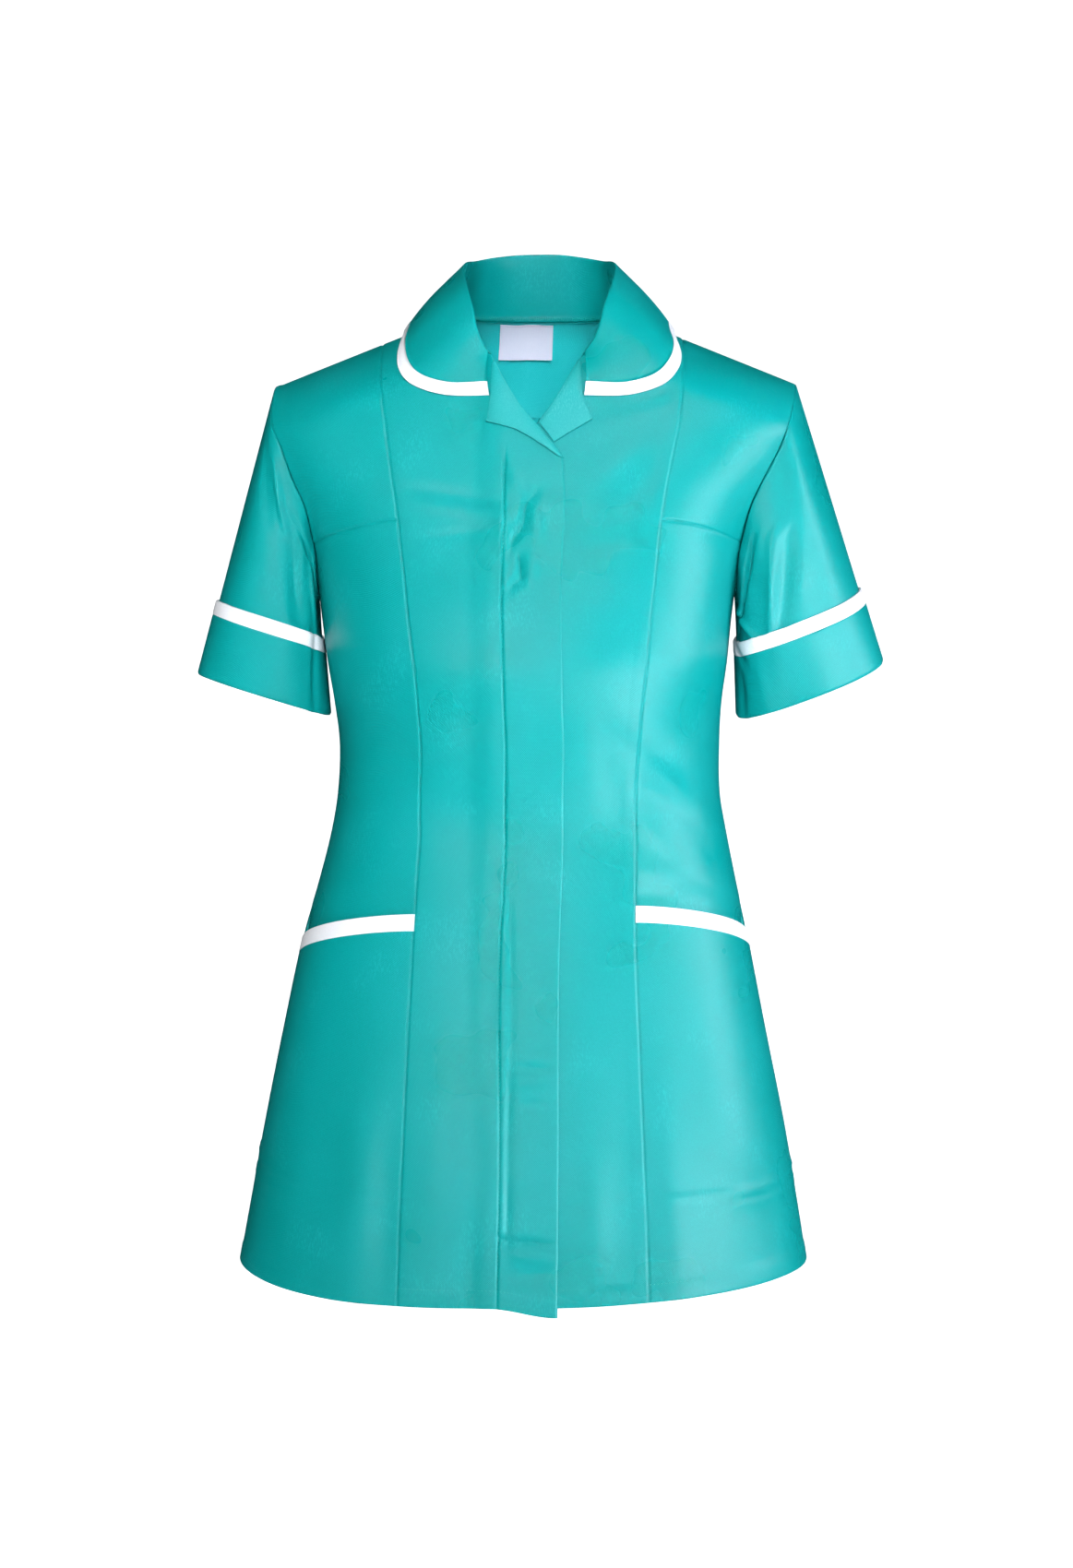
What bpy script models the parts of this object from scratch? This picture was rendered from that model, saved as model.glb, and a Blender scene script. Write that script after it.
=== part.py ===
"""Short-sleeved work tunic, worn form: every cut piece is a thin wall on one hollow body surface.

Metres, +Z up, the front faces -Y and +X is the wearer's left. The origin lies on the neck's
centre line, level with the points where the shoulder seams meet the neck. A "drop" is a
distance below the origin. The centre front leans a little to the wearer's right.
"""

import math
from collections import namedtuple

import bpy
from mathutils import Vector

# Cloth
CLOTH = 0.0013
GAP = 0.0003
COLLAR_CLOTH = 0.0017
LABEL_CLOTH = 0.0010
TRIM_WIDTH = 0.0105
LAYER = CLOTH + GAP
LAYER_ROOM = 0.0007

# Body section: a rounded box whose halves have their own depths. Folds die out near its sides.
ROUNDNESS = 2.4
FOLD_FADE = 2.5

# Neck and shoulders
NECK_HALF_WIDTH = 0.061
NECK_RISE = 0.030
SHOULDER_SLOPE = 0.398
SHOULDER_ROUND = 0.045

# Armholes
ARMHOLE_TOP = 0.0520
ARMHOLE_TURN = 0.165
UNDERARM = 0.205
UNDERARM_STRAIGHT = 0.45

# Hem and bust seam
HEM_SIDE = 0.686
HEM_FRONT_EXTRA = 0.0145
HEM_CURVE = {"right": 4.2, "left": 2.0}
BUST_SEAM_INNER = 0.1495
BUST_SEAM_FALL = 0.0155
YOKE_SEAM = 0.069
YOKE_SEAM_FALL = 0.030

# Front fastening
LAP_EDGE = 0.0245
UNDERLAP_EDGE = -0.019
LAP_RISE = (-0.024, -0.003)
LAP_NARROWS = 0.003
LAP_CORNER_EXTRA = 0.0065

# Pockets
POCKET_MOUTH_INNER = {"right": 0.4265, "left": 0.4205}
POCKET_MOUTH_FALL = {"right": 0.0255, "left": 0.0275}
POCKET_TRIM = 0.0118
POCKET_BAG_BOTTOM = 0.622
POCKET_GAPE = 0.0016
POCKET_GAPE_FADE = 0.03
POCKET_TUCK = (-0.026, -0.006)

# Sleeves
CUFF_DEPTH = 0.0455
SLEEVE_END = 0.001
SLEEVE_CLEAR = 0.0036
SLEEVE_CLEARS_OVER = 0.004
SLEEVE_PUFF = 0.006
SLEEVE_ROUNDNESS = 2.3
SLEEVE_LINES = 32
SLEEVE_ROWS = (0.06, 0.18, 0.34, 0.52, 0.70, 0.86, 1.0)
UNDERARM_ROOM = 0.0012
ARMHOLE_ROOM = 0.0009
CUFF_ROOM = 0.0006

# Columns: drop from the origin, sideways centre, half width, depth in front and behind,
# and how far the two long front seams stand from the centre
Section = namedtuple("Section", "drop centre half_width front back seam_right seam_left")
SECTIONS = (
    Section(-0.005, 0.0000, 0.2050, 0.070, 0.069, 0.1140, 0.1045),
    Section(0.030, -0.0020, 0.2050, 0.078, 0.082, 0.1115, 0.1045),
    Section(0.050, -0.0030, 0.2050, 0.088, 0.090, 0.1100, 0.1040),
    Section(0.080, -0.0040, 0.2035, 0.098, 0.098, 0.1050, 0.1020),
    Section(0.100, -0.0050, 0.1950, 0.104, 0.102, 0.1015, 0.0990),
    Section(0.120, -0.0060, 0.1840, 0.109, 0.105, 0.0980, 0.0960),
    Section(0.140, -0.0068, 0.1710, 0.113, 0.106, 0.0940, 0.0935),
    Section(0.165, -0.0080, 0.1585, 0.118, 0.106, 0.0900, 0.0915),
    Section(0.190, -0.0090, 0.1525, 0.123, 0.105, 0.0860, 0.0900),
    Section(0.215, -0.0095, 0.1490, 0.128, 0.103, 0.0830, 0.0875),
    Section(0.250, -0.0090, 0.1450, 0.131, 0.099, 0.0790, 0.0840),
    Section(0.280, -0.0085, 0.1405, 0.128, 0.093, 0.0770, 0.0805),
    Section(0.310, -0.0075, 0.1380, 0.121, 0.087, 0.0760, 0.0770),
    Section(0.345, -0.0080, 0.1390, 0.114, 0.083, 0.0765, 0.0755),
    Section(0.375, -0.0080, 0.1440, 0.112, 0.084, 0.0765, 0.0755),
    Section(0.410, -0.0090, 0.1520, 0.114, 0.090, 0.0780, 0.0765),
    Section(0.450, -0.0105, 0.1620, 0.118, 0.100, 0.0790, 0.0780),
    Section(0.515, -0.0112, 0.1755, 0.124, 0.113, 0.0815, 0.0810),
    Section(0.590, -0.0112, 0.1905, 0.130, 0.120, 0.0850, 0.0840),
    Section(0.640, -0.0115, 0.1992, 0.133, 0.123, 0.0870, 0.0865),
    Section(0.720, -0.0125, 0.2130, 0.138, 0.127, 0.0880, 0.0895),
)

# Columns: drop, and how far the armhole seam stands from the centre on each side
Armhole = namedtuple("Armhole", "drop right left")
ARMHOLES = (
    Armhole(0.045, 0.1885, 0.1885),
    Armhole(0.052, 0.1885, 0.1880),
    Armhole(0.080, 0.1875, 0.1815),
    Armhole(0.100, 0.1785, 0.1745),
    Armhole(0.120, 0.1700, 0.1650),
    Armhole(0.140, 0.1605, 0.1565),
    Armhole(0.165, 0.1540, 0.1515),
)

# Columns: distance from the centre and drop of the neck seam in front
NeckSeam = namedtuple("NeckSeam", "reach drop")
NECK_SEAM = (
    NeckSeam(0.0322, 0.0330),
    NeckSeam(0.0370, 0.0280),
    NeckSeam(0.0430, 0.0220),
    NeckSeam(0.0500, 0.0130),
    NeckSeam(0.0560, 0.0050),
    NeckSeam(0.0610, 0.0004),
)

# Columns: where the folded edge of each rever runs (sideways place and drop)
FoldPoint = namedtuple("FoldPoint", "place drop")
FOLD_RIGHT = (
    FoldPoint(-0.0345, 0.0335),
    FoldPoint(-0.0209, 0.0585),
    FoldPoint(-0.0105, 0.0742),
    FoldPoint(-0.0027, 0.0827),
    FoldPoint(0.0089, 0.0970),
    FoldPoint(0.0190, 0.1095),
    FoldPoint(0.0300, 0.1230),
)
FOLD_LEFT = (
    FoldPoint(-0.0300, 0.1280),
    FoldPoint(-0.0190, 0.1095),
    FoldPoint(-0.0021, 0.0814),
    FoldPoint(0.0102, 0.0650),
    FoldPoint(0.0226, 0.0433),
    FoldPoint(0.0299, 0.0330),
)

# Columns: one row across each rever, from its fold to its free edge
ReverRow = namedtuple("ReverRow", "fold_place fold_drop edge_place edge_drop")
REVER_RIGHT = (
    ReverRow(-0.0318, 0.0390, -0.0336, 0.0400),
    ReverRow(-0.0268, 0.0485, -0.0342, 0.0525),
    ReverRow(-0.0209, 0.0588, -0.0347, 0.0640),
    ReverRow(-0.0150, 0.0680, -0.0376, 0.0815),
    ReverRow(-0.0085, 0.0767, -0.0265, 0.0845),
    ReverRow(-0.0027, 0.0830, -0.0169, 0.0873),
    ReverRow(0.0040, 0.0912, -0.0060, 0.0933),
    ReverRow(0.0105, 0.0992, 0.0037, 0.0998),
    ReverRow(0.0165, 0.1070, 0.0125, 0.1062),
)
REVER_LEFT = (
    ReverRow(0.0268, 0.0375, 0.0284, 0.0385),
    ReverRow(0.0245, 0.0410, 0.0290, 0.0470),
    ReverRow(0.0207, 0.0472, 0.0298, 0.0640),
    ReverRow(0.0160, 0.0553, 0.0367, 0.0794),
    ReverRow(0.0103, 0.0655, 0.0260, 0.0858),
    ReverRow(0.0045, 0.0733, 0.0180, 0.0905),
    ReverRow(-0.0010, 0.0815, 0.0098, 0.0957),
)

# Columns: how the collar stands and falls round one half of the neck. The stand rises from
# the neck seam, leans outwards by "lean" (radians), and the fall ends at "edge" on the body.
CollarRow = namedtuple("CollarRow", "neck_reach neck_face stand lean edge_reach edge_drop")
FRONT, BACK = -1, 1
COLLAR = (
    CollarRow(0.0000, BACK, 0.0500, -0.20, 0.0000, 0.0120),
    CollarRow(0.0200, BACK, 0.0495, -0.20, 0.0330, 0.0130),
    CollarRow(0.0380, BACK, 0.0470, -0.20, 0.0620, 0.0150),
    CollarRow(0.0530, BACK, 0.0430, -0.20, 0.0850, 0.0160),
    CollarRow(0.0608, BACK, 0.0395, -0.22, 0.0950, 0.0150),
    CollarRow(0.0585, FRONT, 0.0330, -0.18, 0.0975, 0.0200),
    CollarRow(0.0520, FRONT, 0.0265, -0.10, 0.1000, 0.0330),
    CollarRow(0.0455, FRONT, 0.0190, 0.00, 0.0980, 0.0450),
    CollarRow(0.0410, FRONT, 0.0115, 0.30, 0.0880, 0.0550),
    CollarRow(0.0364, FRONT, 0.0065, 0.80, 0.0640, 0.0625),
    CollarRow(0.0322, FRONT, 0.0040, 1.20, 0.0333, 0.0630),
)
COLLAR_LIFT = 0.0012
COLLAR_ROLL = 0.0030
COLLAR_BOW = 0.0035
COLLAR_FALL = (0.3, 0.6, 0.82)
COLLAR_STATIONS = 13
COLLAR_LINES = 7
NECK_LEAN = 0.0023

# Revers: how far they stand off the front, and how much they bulge between fold and edge
REVER_LIFT = 0.0006
REVER_BULGE = 0.0008

# Neck label: its middle, its width, its two ends' drops, and how far it hangs off the back
LABEL_PLACE = -0.0078
LABEL_WIDTH = 0.0385
LABEL_TOP = 0.0035
LABEL_BOTTOM = 0.0290
LABEL_HANG = 0.0010

# Columns: each sleeve's hem, as its middle, its half size across and from front to back,
# its tilt (radians), how far its front hangs lower, and where its middle sits behind the centre
SleeveHem = namedtuple("SleeveHem", "side middle drop across deep tilt front_fall behind")
SLEEVE_HEMS = (
    SleeveHem("right", -0.2010, 0.2745, 0.0490, 0.0450, 0.314, 0.0005, 0.006),
    SleeveHem("left", 0.1970, 0.2700, 0.0555, 0.0450, 0.375, 0.0065, 0.006),
)

# Columns: the largest soft folds of the body, each a ridge (rise over 0) or a trough along a
# straight line: its face, middle, turn from upright (radians), half length, half width, rise
Fold = namedtuple("Fold", "face place drop turn half_length half_width rise")
FOLDS = (
    Fold(FRONT, 0.098, 0.350, 0.72, 0.055, 0.0090, -0.0022),
    Fold(FRONT, 0.110, 0.328, 0.85, 0.050, 0.0100, 0.0018),
    Fold(FRONT, -0.110, 0.333, -1.25, 0.045, 0.0090, -0.0012),
    Fold(FRONT, 0.062, 0.590, 0.06, 0.130, 0.0220, -0.0025),
    Fold(FRONT, -0.068, 0.600, -0.05, 0.120, 0.0220, 0.0020),
    Fold(FRONT, 0.135, 0.585, 0.16, 0.110, 0.0200, 0.0026),
    Fold(FRONT, -0.150, 0.580, -0.15, 0.110, 0.0200, -0.0022),
    Fold(BACK, -0.060, 0.345, 0.95, 0.050, 0.0110, -0.0024),
    Fold(BACK, 0.070, 0.352, -0.80, 0.055, 0.0120, -0.0020),
    Fold(BACK, 0.010, 0.372, 1.45, 0.060, 0.0130, 0.0022),
    Fold(BACK, -0.075, 0.590, -0.06, 0.120, 0.0230, 0.0030),
    Fold(BACK, 0.050, 0.600, 0.05, 0.115, 0.0230, -0.0028),
    Fold(BACK, 0.125, 0.580, 0.14, 0.110, 0.0200, 0.0024),
)

# Finishes: base colour, roughness
TEAL = ((0.020, 0.480, 0.450, 1.0), 0.62)
TEAL_INSIDE = ((0.030, 0.400, 0.390, 1.0), 0.70)
WHITE = ((0.880, 0.890, 0.900, 1.0), 0.60)
LABEL = ((0.720, 0.740, 0.860, 1.0), 0.50)


def clear_scene():
    for thing in list(bpy.data.objects):
        bpy.data.objects.remove(thing, do_unlink=True)


# ---------------------------------------------------------------- reading the tables


def read_table(rows, key, place, value):
    """A smooth curve through one column of a table, read at a place in its key column."""
    keys = [getattr(row, key) for row in rows]
    values = [getattr(row, value) for row in rows]
    place = min(max(place, keys[0]), keys[-1])
    index = 0
    while index < len(keys) - 2 and keys[index + 1] < place:
        index += 1
    width = keys[index + 1] - keys[index]
    slopes = []
    for end in (index, index + 1):
        before, after = max(end - 1, 0), min(end + 1, len(keys) - 1)
        slopes.append((values[after] - values[before]) / (keys[after] - keys[before]))
    t = (place - keys[index]) / width
    return (
        (2 * t**3 - 3 * t**2 + 1) * values[index]
        + (t**3 - 2 * t**2 + t) * width * slopes[0]
        + (3 * t**2 - 2 * t**3) * values[index + 1]
        + (t**3 - t**2) * width * slopes[1]
    )


def read_polyline(rows, key, place, value):
    """Straight runs between the rows, for edges with corners."""
    for first, second in zip(rows, rows[1:]):
        start, end = getattr(first, key), getattr(second, key)
        if place <= end or second is rows[-1]:
            share = min(max((place - start) / (end - start), 0.0), 1.0)
            return getattr(first, value) * (1 - share) + getattr(second, value) * share


def section(drop, column):
    return read_table(SECTIONS, "drop", drop, column)


def smooth_step(low, high, value):
    t = min(max((value - low) / (high - low), 0.0), 1.0)
    return t * t * (3 - 2 * t)


# ---------------------------------------------------------------- the body surface


def crest(x):
    """Height of the shoulder line over a sideways place, and of the neck's dome inside it."""
    reach = abs(x)
    if reach > NECK_HALF_WIDTH:
        return -SHOULDER_SLOPE * (reach - NECK_HALF_WIDTH)
    return NECK_RISE * (1 - (reach / NECK_HALF_WIDTH) ** 2)


def crest_share(x, z):
    """0 on the shoulder line and 1 where the body has its full depth."""
    lack = 1 - min(max((crest(x) - z) / SHOULDER_ROUND, 0.0), 1.0)
    return math.sqrt(1 - lack * lack)


def fold_rise(x, z, face):
    rise = 0.0
    for fold in FOLDS:
        if fold.face != face:
            continue
        along_x, along_z = math.sin(fold.turn), -math.cos(fold.turn)
        dx, dz = x - fold.place, z + fold.drop
        along = (dx * along_x + dz * along_z) / fold.half_length
        across = (dx * along_z - dz * along_x) / fold.half_width
        rise += fold.rise * math.exp(-(along**2) * 1.4 - across**2)
    return rise


def full_depth(z, face):
    return section(-z, "front" if face == FRONT else "back")


def place_at(angle, z):
    """The sideways place of an angle: 0 is the centre and 90 degrees the side."""
    return section(-z, "centre") + section(-z, "half_width") * math.sin(angle)


def roundness_share(share_across):
    """How much of the full depth a section keeps, at a share of the way out to its side."""
    return max(1 - abs(share_across) ** ROUNDNESS, 0.0) ** (1 / ROUNDNESS)


def body_point(angle, z, face):
    """A point of the body surface."""
    x = place_at(angle, z)
    reach = roundness_share(math.sin(angle))
    depth = full_depth(z, face) * reach * crest_share(x, z)
    depth += fold_rise(x, z, face) * min(reach * FOLD_FADE, 1.0)
    return Vector((x, face * depth, z))


def body_level(point):
    """Under 0 inside the body surface and over 0 outside it."""
    x, y, z = point
    shift = (x - section(-z, "centre")) / section(-z, "half_width")
    depth = full_depth(z, BACK if y > 0 else FRONT)
    lack = 1 - min(max((crest(x) - z) / SHOULDER_ROUND, -1.0), 1.0)
    across = max(1 - abs(shift) ** ROUNDNESS, 0.0) ** (2 / ROUNDNESS)
    if abs(shift) > 1:
        across = -(abs(shift) ** ROUNDNESS - 1)
    return (y / depth) ** 2 - across * (1 - lack * lack)


def body_slope(point):
    """The gradient of the level, from a small step along each axis."""
    step = 0.00008
    slope = []
    for axis in (Vector((step, 0, 0)), Vector((0, step, 0)), Vector((0, 0, step))):
        slope.append((body_level(point + axis) - body_level(point - axis)) / (2 * step))
    return Vector(slope)


def body_normal(point):
    return body_slope(point).normalized()


def lifted(point, least):
    """The point itself, or the nearest one that stands at least this far off the body."""
    for _ in range(4):
        slope = body_slope(point)
        distance = body_level(point) / max(slope.length, 1e-6)
        if distance >= least:
            break
        point = point + slope.normalized() * min(least - distance, 0.004)
    return point


def angle_at(offset, z):
    """The angle of a point that stands this far sideways from the section's centre."""
    share = offset / section(-z, "half_width")
    return math.asin(min(max(share, -1.0), 1.0))


def angle_of_place(x, z):
    return angle_at(x - section(-z, "centre"), z)


def armhole_angle(z, side):
    """The armhole seam's angle, down to the underarm where it meets the side seam."""
    drop = -z
    if drop >= UNDERARM:
        return math.pi / 2
    at = min(drop, ARMHOLE_TURN)
    angle = angle_at(read_table(ARMHOLES, "drop", at, side), -at)
    if drop > ARMHOLE_TURN:
        down = (drop - ARMHOLE_TURN) / (UNDERARM - ARMHOLE_TURN)
        curve = UNDERARM_STRAIGHT * down + (1 - UNDERARM_STRAIGHT) * (1 - math.sqrt(1 - down * down))
        angle += (math.pi / 2 - angle) * curve
    return angle


def seam_angle(z, side):
    return angle_at(section(-z, "seam_" + side), z)


# ---------------------------------------------------------------- the lines that pieces end on


def shoulder_line(x, face):
    """Just off the crest, so that the front and the back stop half a gap from each other."""
    z = crest(x)
    reach = roundness_share(math.sin(angle_of_place(x, z)))
    turn = GAP / 2 / (full_depth(z, face) * max(reach, 0.2))
    return z - SHOULDER_ROUND * (1 - math.cos(turn))


def neck_lean(reach):
    """The neck seam's front ends lean with the centre front, less and less up to the shoulder."""
    start = NECK_SEAM[0].reach
    return -NECK_LEAN * (NECK_HALF_WIDTH - reach) / (NECK_HALF_WIDTH - start)


def front_top(x, fold_line, neck_side):
    """Top edge of a centre front: rever fold, then neck seam, then shoulder."""
    reach = x * neck_side
    for _ in range(5):
        reach = (x - neck_lean(reach)) * neck_side
    if reach >= NECK_HALF_WIDTH:
        return shoulder_line(x, FRONT)
    if reach >= NECK_SEAM[0].reach:
        return -read_table(NECK_SEAM, "reach", reach, "drop") - GAP / 2
    return -read_polyline(fold_line, "place", x, "drop")


def back_top(x):
    if abs(x) >= NECK_HALF_WIDTH:
        return shoulder_line(x, BACK)
    return -GAP / 2


def hem_line(angle):
    curve = HEM_CURVE["left" if angle > 0 else "right"]
    return -HEM_SIDE - HEM_FRONT_EXTRA * (1 - abs(math.sin(angle)) ** curve)


def bust_seam(x, side):
    """The curved seam from the long front seam out to the armhole."""
    inner = section(BUST_SEAM_INNER, "seam_" + side)
    outer = ARMHOLES[-1].right if side == "right" else ARMHOLES[-1].left
    share = (abs(x - section(BUST_SEAM_INNER, "centre")) - inner) / (outer - inner)
    return -BUST_SEAM_INNER - BUST_SEAM_FALL * max(share, 0.0) ** 1.7


def yoke_seam(x):
    return -YOKE_SEAM - YOKE_SEAM_FALL * (abs(x) / 0.19) ** 2


def pocket_mouth(angle, side):
    """The curved opening of the pocket, lowest at the side seam."""
    top = -POCKET_MOUTH_INNER[side]
    inner = seam_angle(top, side)
    share = max((abs(angle) - inner) / (math.pi / 2 - inner), 0.0)
    return top - POCKET_MOUTH_FALL[side] * share**1.5


def lap_lift(x, z):
    """The right front rises over the left one where they lap."""
    past_underlap = x - section(-z, "centre") - UNDERLAP_EDGE
    return (LAYER + LAYER_ROOM) * smooth_step(*LAP_RISE, past_underlap)


def tuck_behind_pocket(angle, z, side):
    """The side front sinks behind the pocket's outer layer just above the pocket's mouth."""
    below = pocket_mouth(angle, side) - z
    return -(LAYER + LAYER_ROOM) * smooth_step(*POCKET_TUCK, below)


# ---------------------------------------------------------------- making meshes


def material(name, finish):
    colour, roughness = finish
    made = bpy.data.materials.get(name)
    if made is None:
        made = bpy.data.materials.new(name)
        made.use_nodes = True
        shader = made.node_tree.nodes["Principled BSDF"]
        shader.inputs["Base Color"].default_value = colour
        shader.inputs["Roughness"].default_value = roughness
        shader.inputs["Metallic"].default_value = 0.0
    return made


def add_object(name, points, faces, finish):
    mesh = bpy.data.meshes.new(name)
    mesh.from_pydata(points, [], faces)
    mesh.shade_smooth()
    mesh.set_sharp_from_angle(angle=math.radians(40))
    mesh.materials.append(material("finish_" + name, finish))
    made = bpy.data.objects.new(name, mesh)
    bpy.context.scene.collection.objects.link(made)
    return made


def wall(name, outer, inner, finish, closed=False):
    """A closed wall between two grids of points with the same rows and columns."""
    rows, columns = len(outer), len(outer[0])
    count = rows * columns
    points = [p for row in outer for p in row] + [p for row in inner for p in row]
    faces = []
    last = columns if closed else columns - 1
    for i in range(rows - 1):
        for j in range(last):
            k = (j + 1) % columns
            a, b = i * columns + j, i * columns + k
            c, d = (i + 1) * columns + k, (i + 1) * columns + j
            faces.append((a, b, c, d))
            faces.append((d + count, c + count, b + count, a + count))
    for j in range(last):
        k = (j + 1) % columns
        end = (rows - 1) * columns
        faces.append((j, j + count, k + count, k))
        faces.append((end + k, end + k + count, end + j + count, end + j))
    if not closed:
        for i in range(rows - 1):
            a, d = i * columns, (i + 1) * columns
            faces.append((a, d, d + count, a + count))
            b, c = a + columns - 1, d + columns - 1
            faces.append((b, b + count, c + count, c))
    made = add_object(name, points, faces, finish)
    face_outwards(made)
    return made


def face_outwards(made):
    """Turns every face round where the closed mesh has come out inside out."""
    mesh = made.data
    mesh.calc_loop_triangles()
    volume = 0.0
    for triangle in mesh.loop_triangles:
        a, b, c = (mesh.vertices[i].co for i in triangle.vertices)
        volume += a.dot(b.cross(c))
    if volume < 0:
        mesh.flip_normals()


def stepped_in(angle, z, face, direction):
    """The angle half a gap further on, measured round the level section."""

    def ring_point(turn):
        depth = full_depth(z, face) * roundness_share(math.sin(turn))
        return Vector((place_at(turn, z), depth))

    start = ring_point(angle)
    step = 1e-6
    while (ring_point(angle + direction * step) - start).length < GAP / 2:
        step *= 1.25
    return angle + direction * step


def crest_rows(length, rounds, rest):
    """Row places from 0 to 1 down a piece: close together over the shoulder's round."""
    over = [SHOULDER_ROUND * (1 - math.cos(math.radians(turn))) / length for turn in rounds]
    start = over[-1]
    return over + [start + (1 - start) * (i + 1) / rest for i in range(rest)]


def even(count):
    return [i / count for i in range(count + 1)]


def graded(near, first, rest):
    """Rows from 0 to 1, with the first ones close together down to a share of the length."""
    over = [near * i / first for i in range(first + 1)]
    return over + [near + (1 - near) * (i + 1) / rest for i in range(rest)]


def panel(name, face, inner, outer, top, bottom, columns, rows, finish, lift=None, cloth=CLOTH):
    """A cut piece: its side edges are angles over height, its ends are heights over place."""
    shape_outer, shape_inner = [], []

    def angle_across(z, share):
        start, end = inner(z), outer(z)
        forward = 1 if end > start else -1
        start = stepped_in(start, z, face, forward)
        end = stepped_in(end, z, face, -forward)
        return start * (1 - share) + end * share

    def end_height(line, z, share):
        """Where a column of the piece meets its top or bottom line."""
        for _ in range(9):
            angle = angle_across(z, share)
            z = line(place_at(angle, z), angle)
        return z

    ends = [(end_height(top, -0.1, share), end_height(bottom, -0.6, share)) for share in columns]
    for share_down in rows:
        row_outer, row_inner = [], []
        for share_across, (z_top, z_bottom) in zip(columns, ends):
            z = z_top + (z_bottom - z_top) * share_down
            angle = angle_across(z, share_across)
            point = body_point(angle, z, face)
            normal = body_normal(point)
            rise = lift(point.x, z, angle) if lift else 0.0
            row_outer.append(point + normal * rise)
            row_inner.append(point + normal * (rise - cloth))
        shape_outer.append(row_outer)
        shape_inner.append(row_inner)
    return wall(name, shape_outer, shape_inner, finish)


# ---------------------------------------------------------------- fronts and backs

SHOULDER_TURNS = (0, 14, 30, 48, 68, 90)


def centre_fronts():
    rows = crest_rows(0.70, SHOULDER_TURNS, 24)
    panel(
        "front_right",
        FRONT,
        lambda z: -seam_angle(z, "right"),
        lambda z: angle_at(LAP_EDGE - LAP_NARROWS * smooth_step(-0.14, -0.10, z), z),
        lambda x, angle: front_top(x, FOLD_RIGHT, -1),
        lambda x, angle: hem_line(angle) - LAP_CORNER_EXTRA * smooth_step(-0.035, 0.012, x),
        even(10),
        rows,
        TEAL,
        lambda x, z, angle: lap_lift(x, z),
    )
    panel(
        "front_left",
        FRONT,
        lambda z: angle_at(UNDERLAP_EDGE, z),
        lambda z: seam_angle(z, "left"),
        lambda x, angle: front_top(x, FOLD_LEFT, 1),
        lambda x, angle: hem_line(angle),
        even(10),
        rows,
        TEAL,
    )


def side_pieces(side):
    sign = -1 if side == "right" else 1

    def inner_edge(z):
        return sign * seam_angle(z, side)

    def outer_edge(z):
        return sign * armhole_angle(z, side)

    panel(
        "shoulder_front_" + side,
        FRONT,
        inner_edge,
        outer_edge,
        lambda x, angle: shoulder_line(x, FRONT),
        lambda x, angle: bust_seam(x, side) + GAP / 2,
        even(6),
        crest_rows(0.115, SHOULDER_TURNS, 7),
        TEAL,
    )
    panel(
        "side_front_" + side,
        FRONT,
        inner_edge,
        outer_edge,
        lambda x, angle: bust_seam(x, side) - GAP / 2,
        lambda x, angle: -POCKET_BAG_BOTTOM,
        even(8),
        graded(0.10, 5, 16),
        TEAL,
        lambda x, z, angle: tuck_behind_pocket(angle, z, side),
    )


def pocket_gape(angle, z, side):
    """The mouth stands off a little between its two sewn ends."""
    inner = seam_angle(z, side)
    share = (abs(angle) - inner) / (math.pi / 2 - inner)
    below = pocket_mouth(angle, side) - z
    return POCKET_GAPE * math.sin(math.pi * min(max(share, 0), 1)) * math.exp(-below / POCKET_GAPE_FADE)


def pocket(side):
    sign = -1 if side == "right" else 1
    edges = (lambda z: sign * seam_angle(z, side), lambda z: sign * math.pi / 2)

    def gape(x, z, angle):
        return pocket_gape(angle, z, side)

    panel(
        "pocket_trim_" + side,
        FRONT,
        *edges,
        lambda x, angle: pocket_mouth(angle, side),
        lambda x, angle: pocket_mouth(angle, side) - POCKET_TRIM + GAP / 2,
        even(8),
        even(2),
        WHITE,
        gape,
    )
    panel(
        "pocket_" + side,
        FRONT,
        *edges,
        lambda x, angle: pocket_mouth(angle, side) - POCKET_TRIM - GAP / 2,
        lambda x, angle: hem_line(angle),
        even(8),
        even(9),
        TEAL,
        gape,
    )


def backs():
    edges = (lambda z: -armhole_angle(z, "right"), lambda z: armhole_angle(z, "left"))
    panel(
        "back_yoke",
        BACK,
        *edges,
        lambda x, angle: back_top(x),
        lambda x, angle: yoke_seam(x) + GAP / 2,
        even(20),
        crest_rows(0.060, (0, 16, 34, 55), 4),
        TEAL_INSIDE,
    )
    panel(
        "back_panel",
        BACK,
        *edges,
        lambda x, angle: yoke_seam(x) - GAP / 2,
        lambda x, angle: -HEM_SIDE,
        even(18),
        graded(0.22, 8, 16),
        TEAL,
    )


# ---------------------------------------------------------------- collar, revers and label


def neck_point(row_reach, face, side_sign):
    """A point of the collar's lower edge, just above the neck seam."""
    x = side_sign * row_reach
    z = GAP
    if face == FRONT:
        x += neck_lean(row_reach)
        z += GAP - read_table(NECK_SEAM, "reach", row_reach, "drop")
    return body_point(angle_of_place(x, z), z, face)


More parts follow.
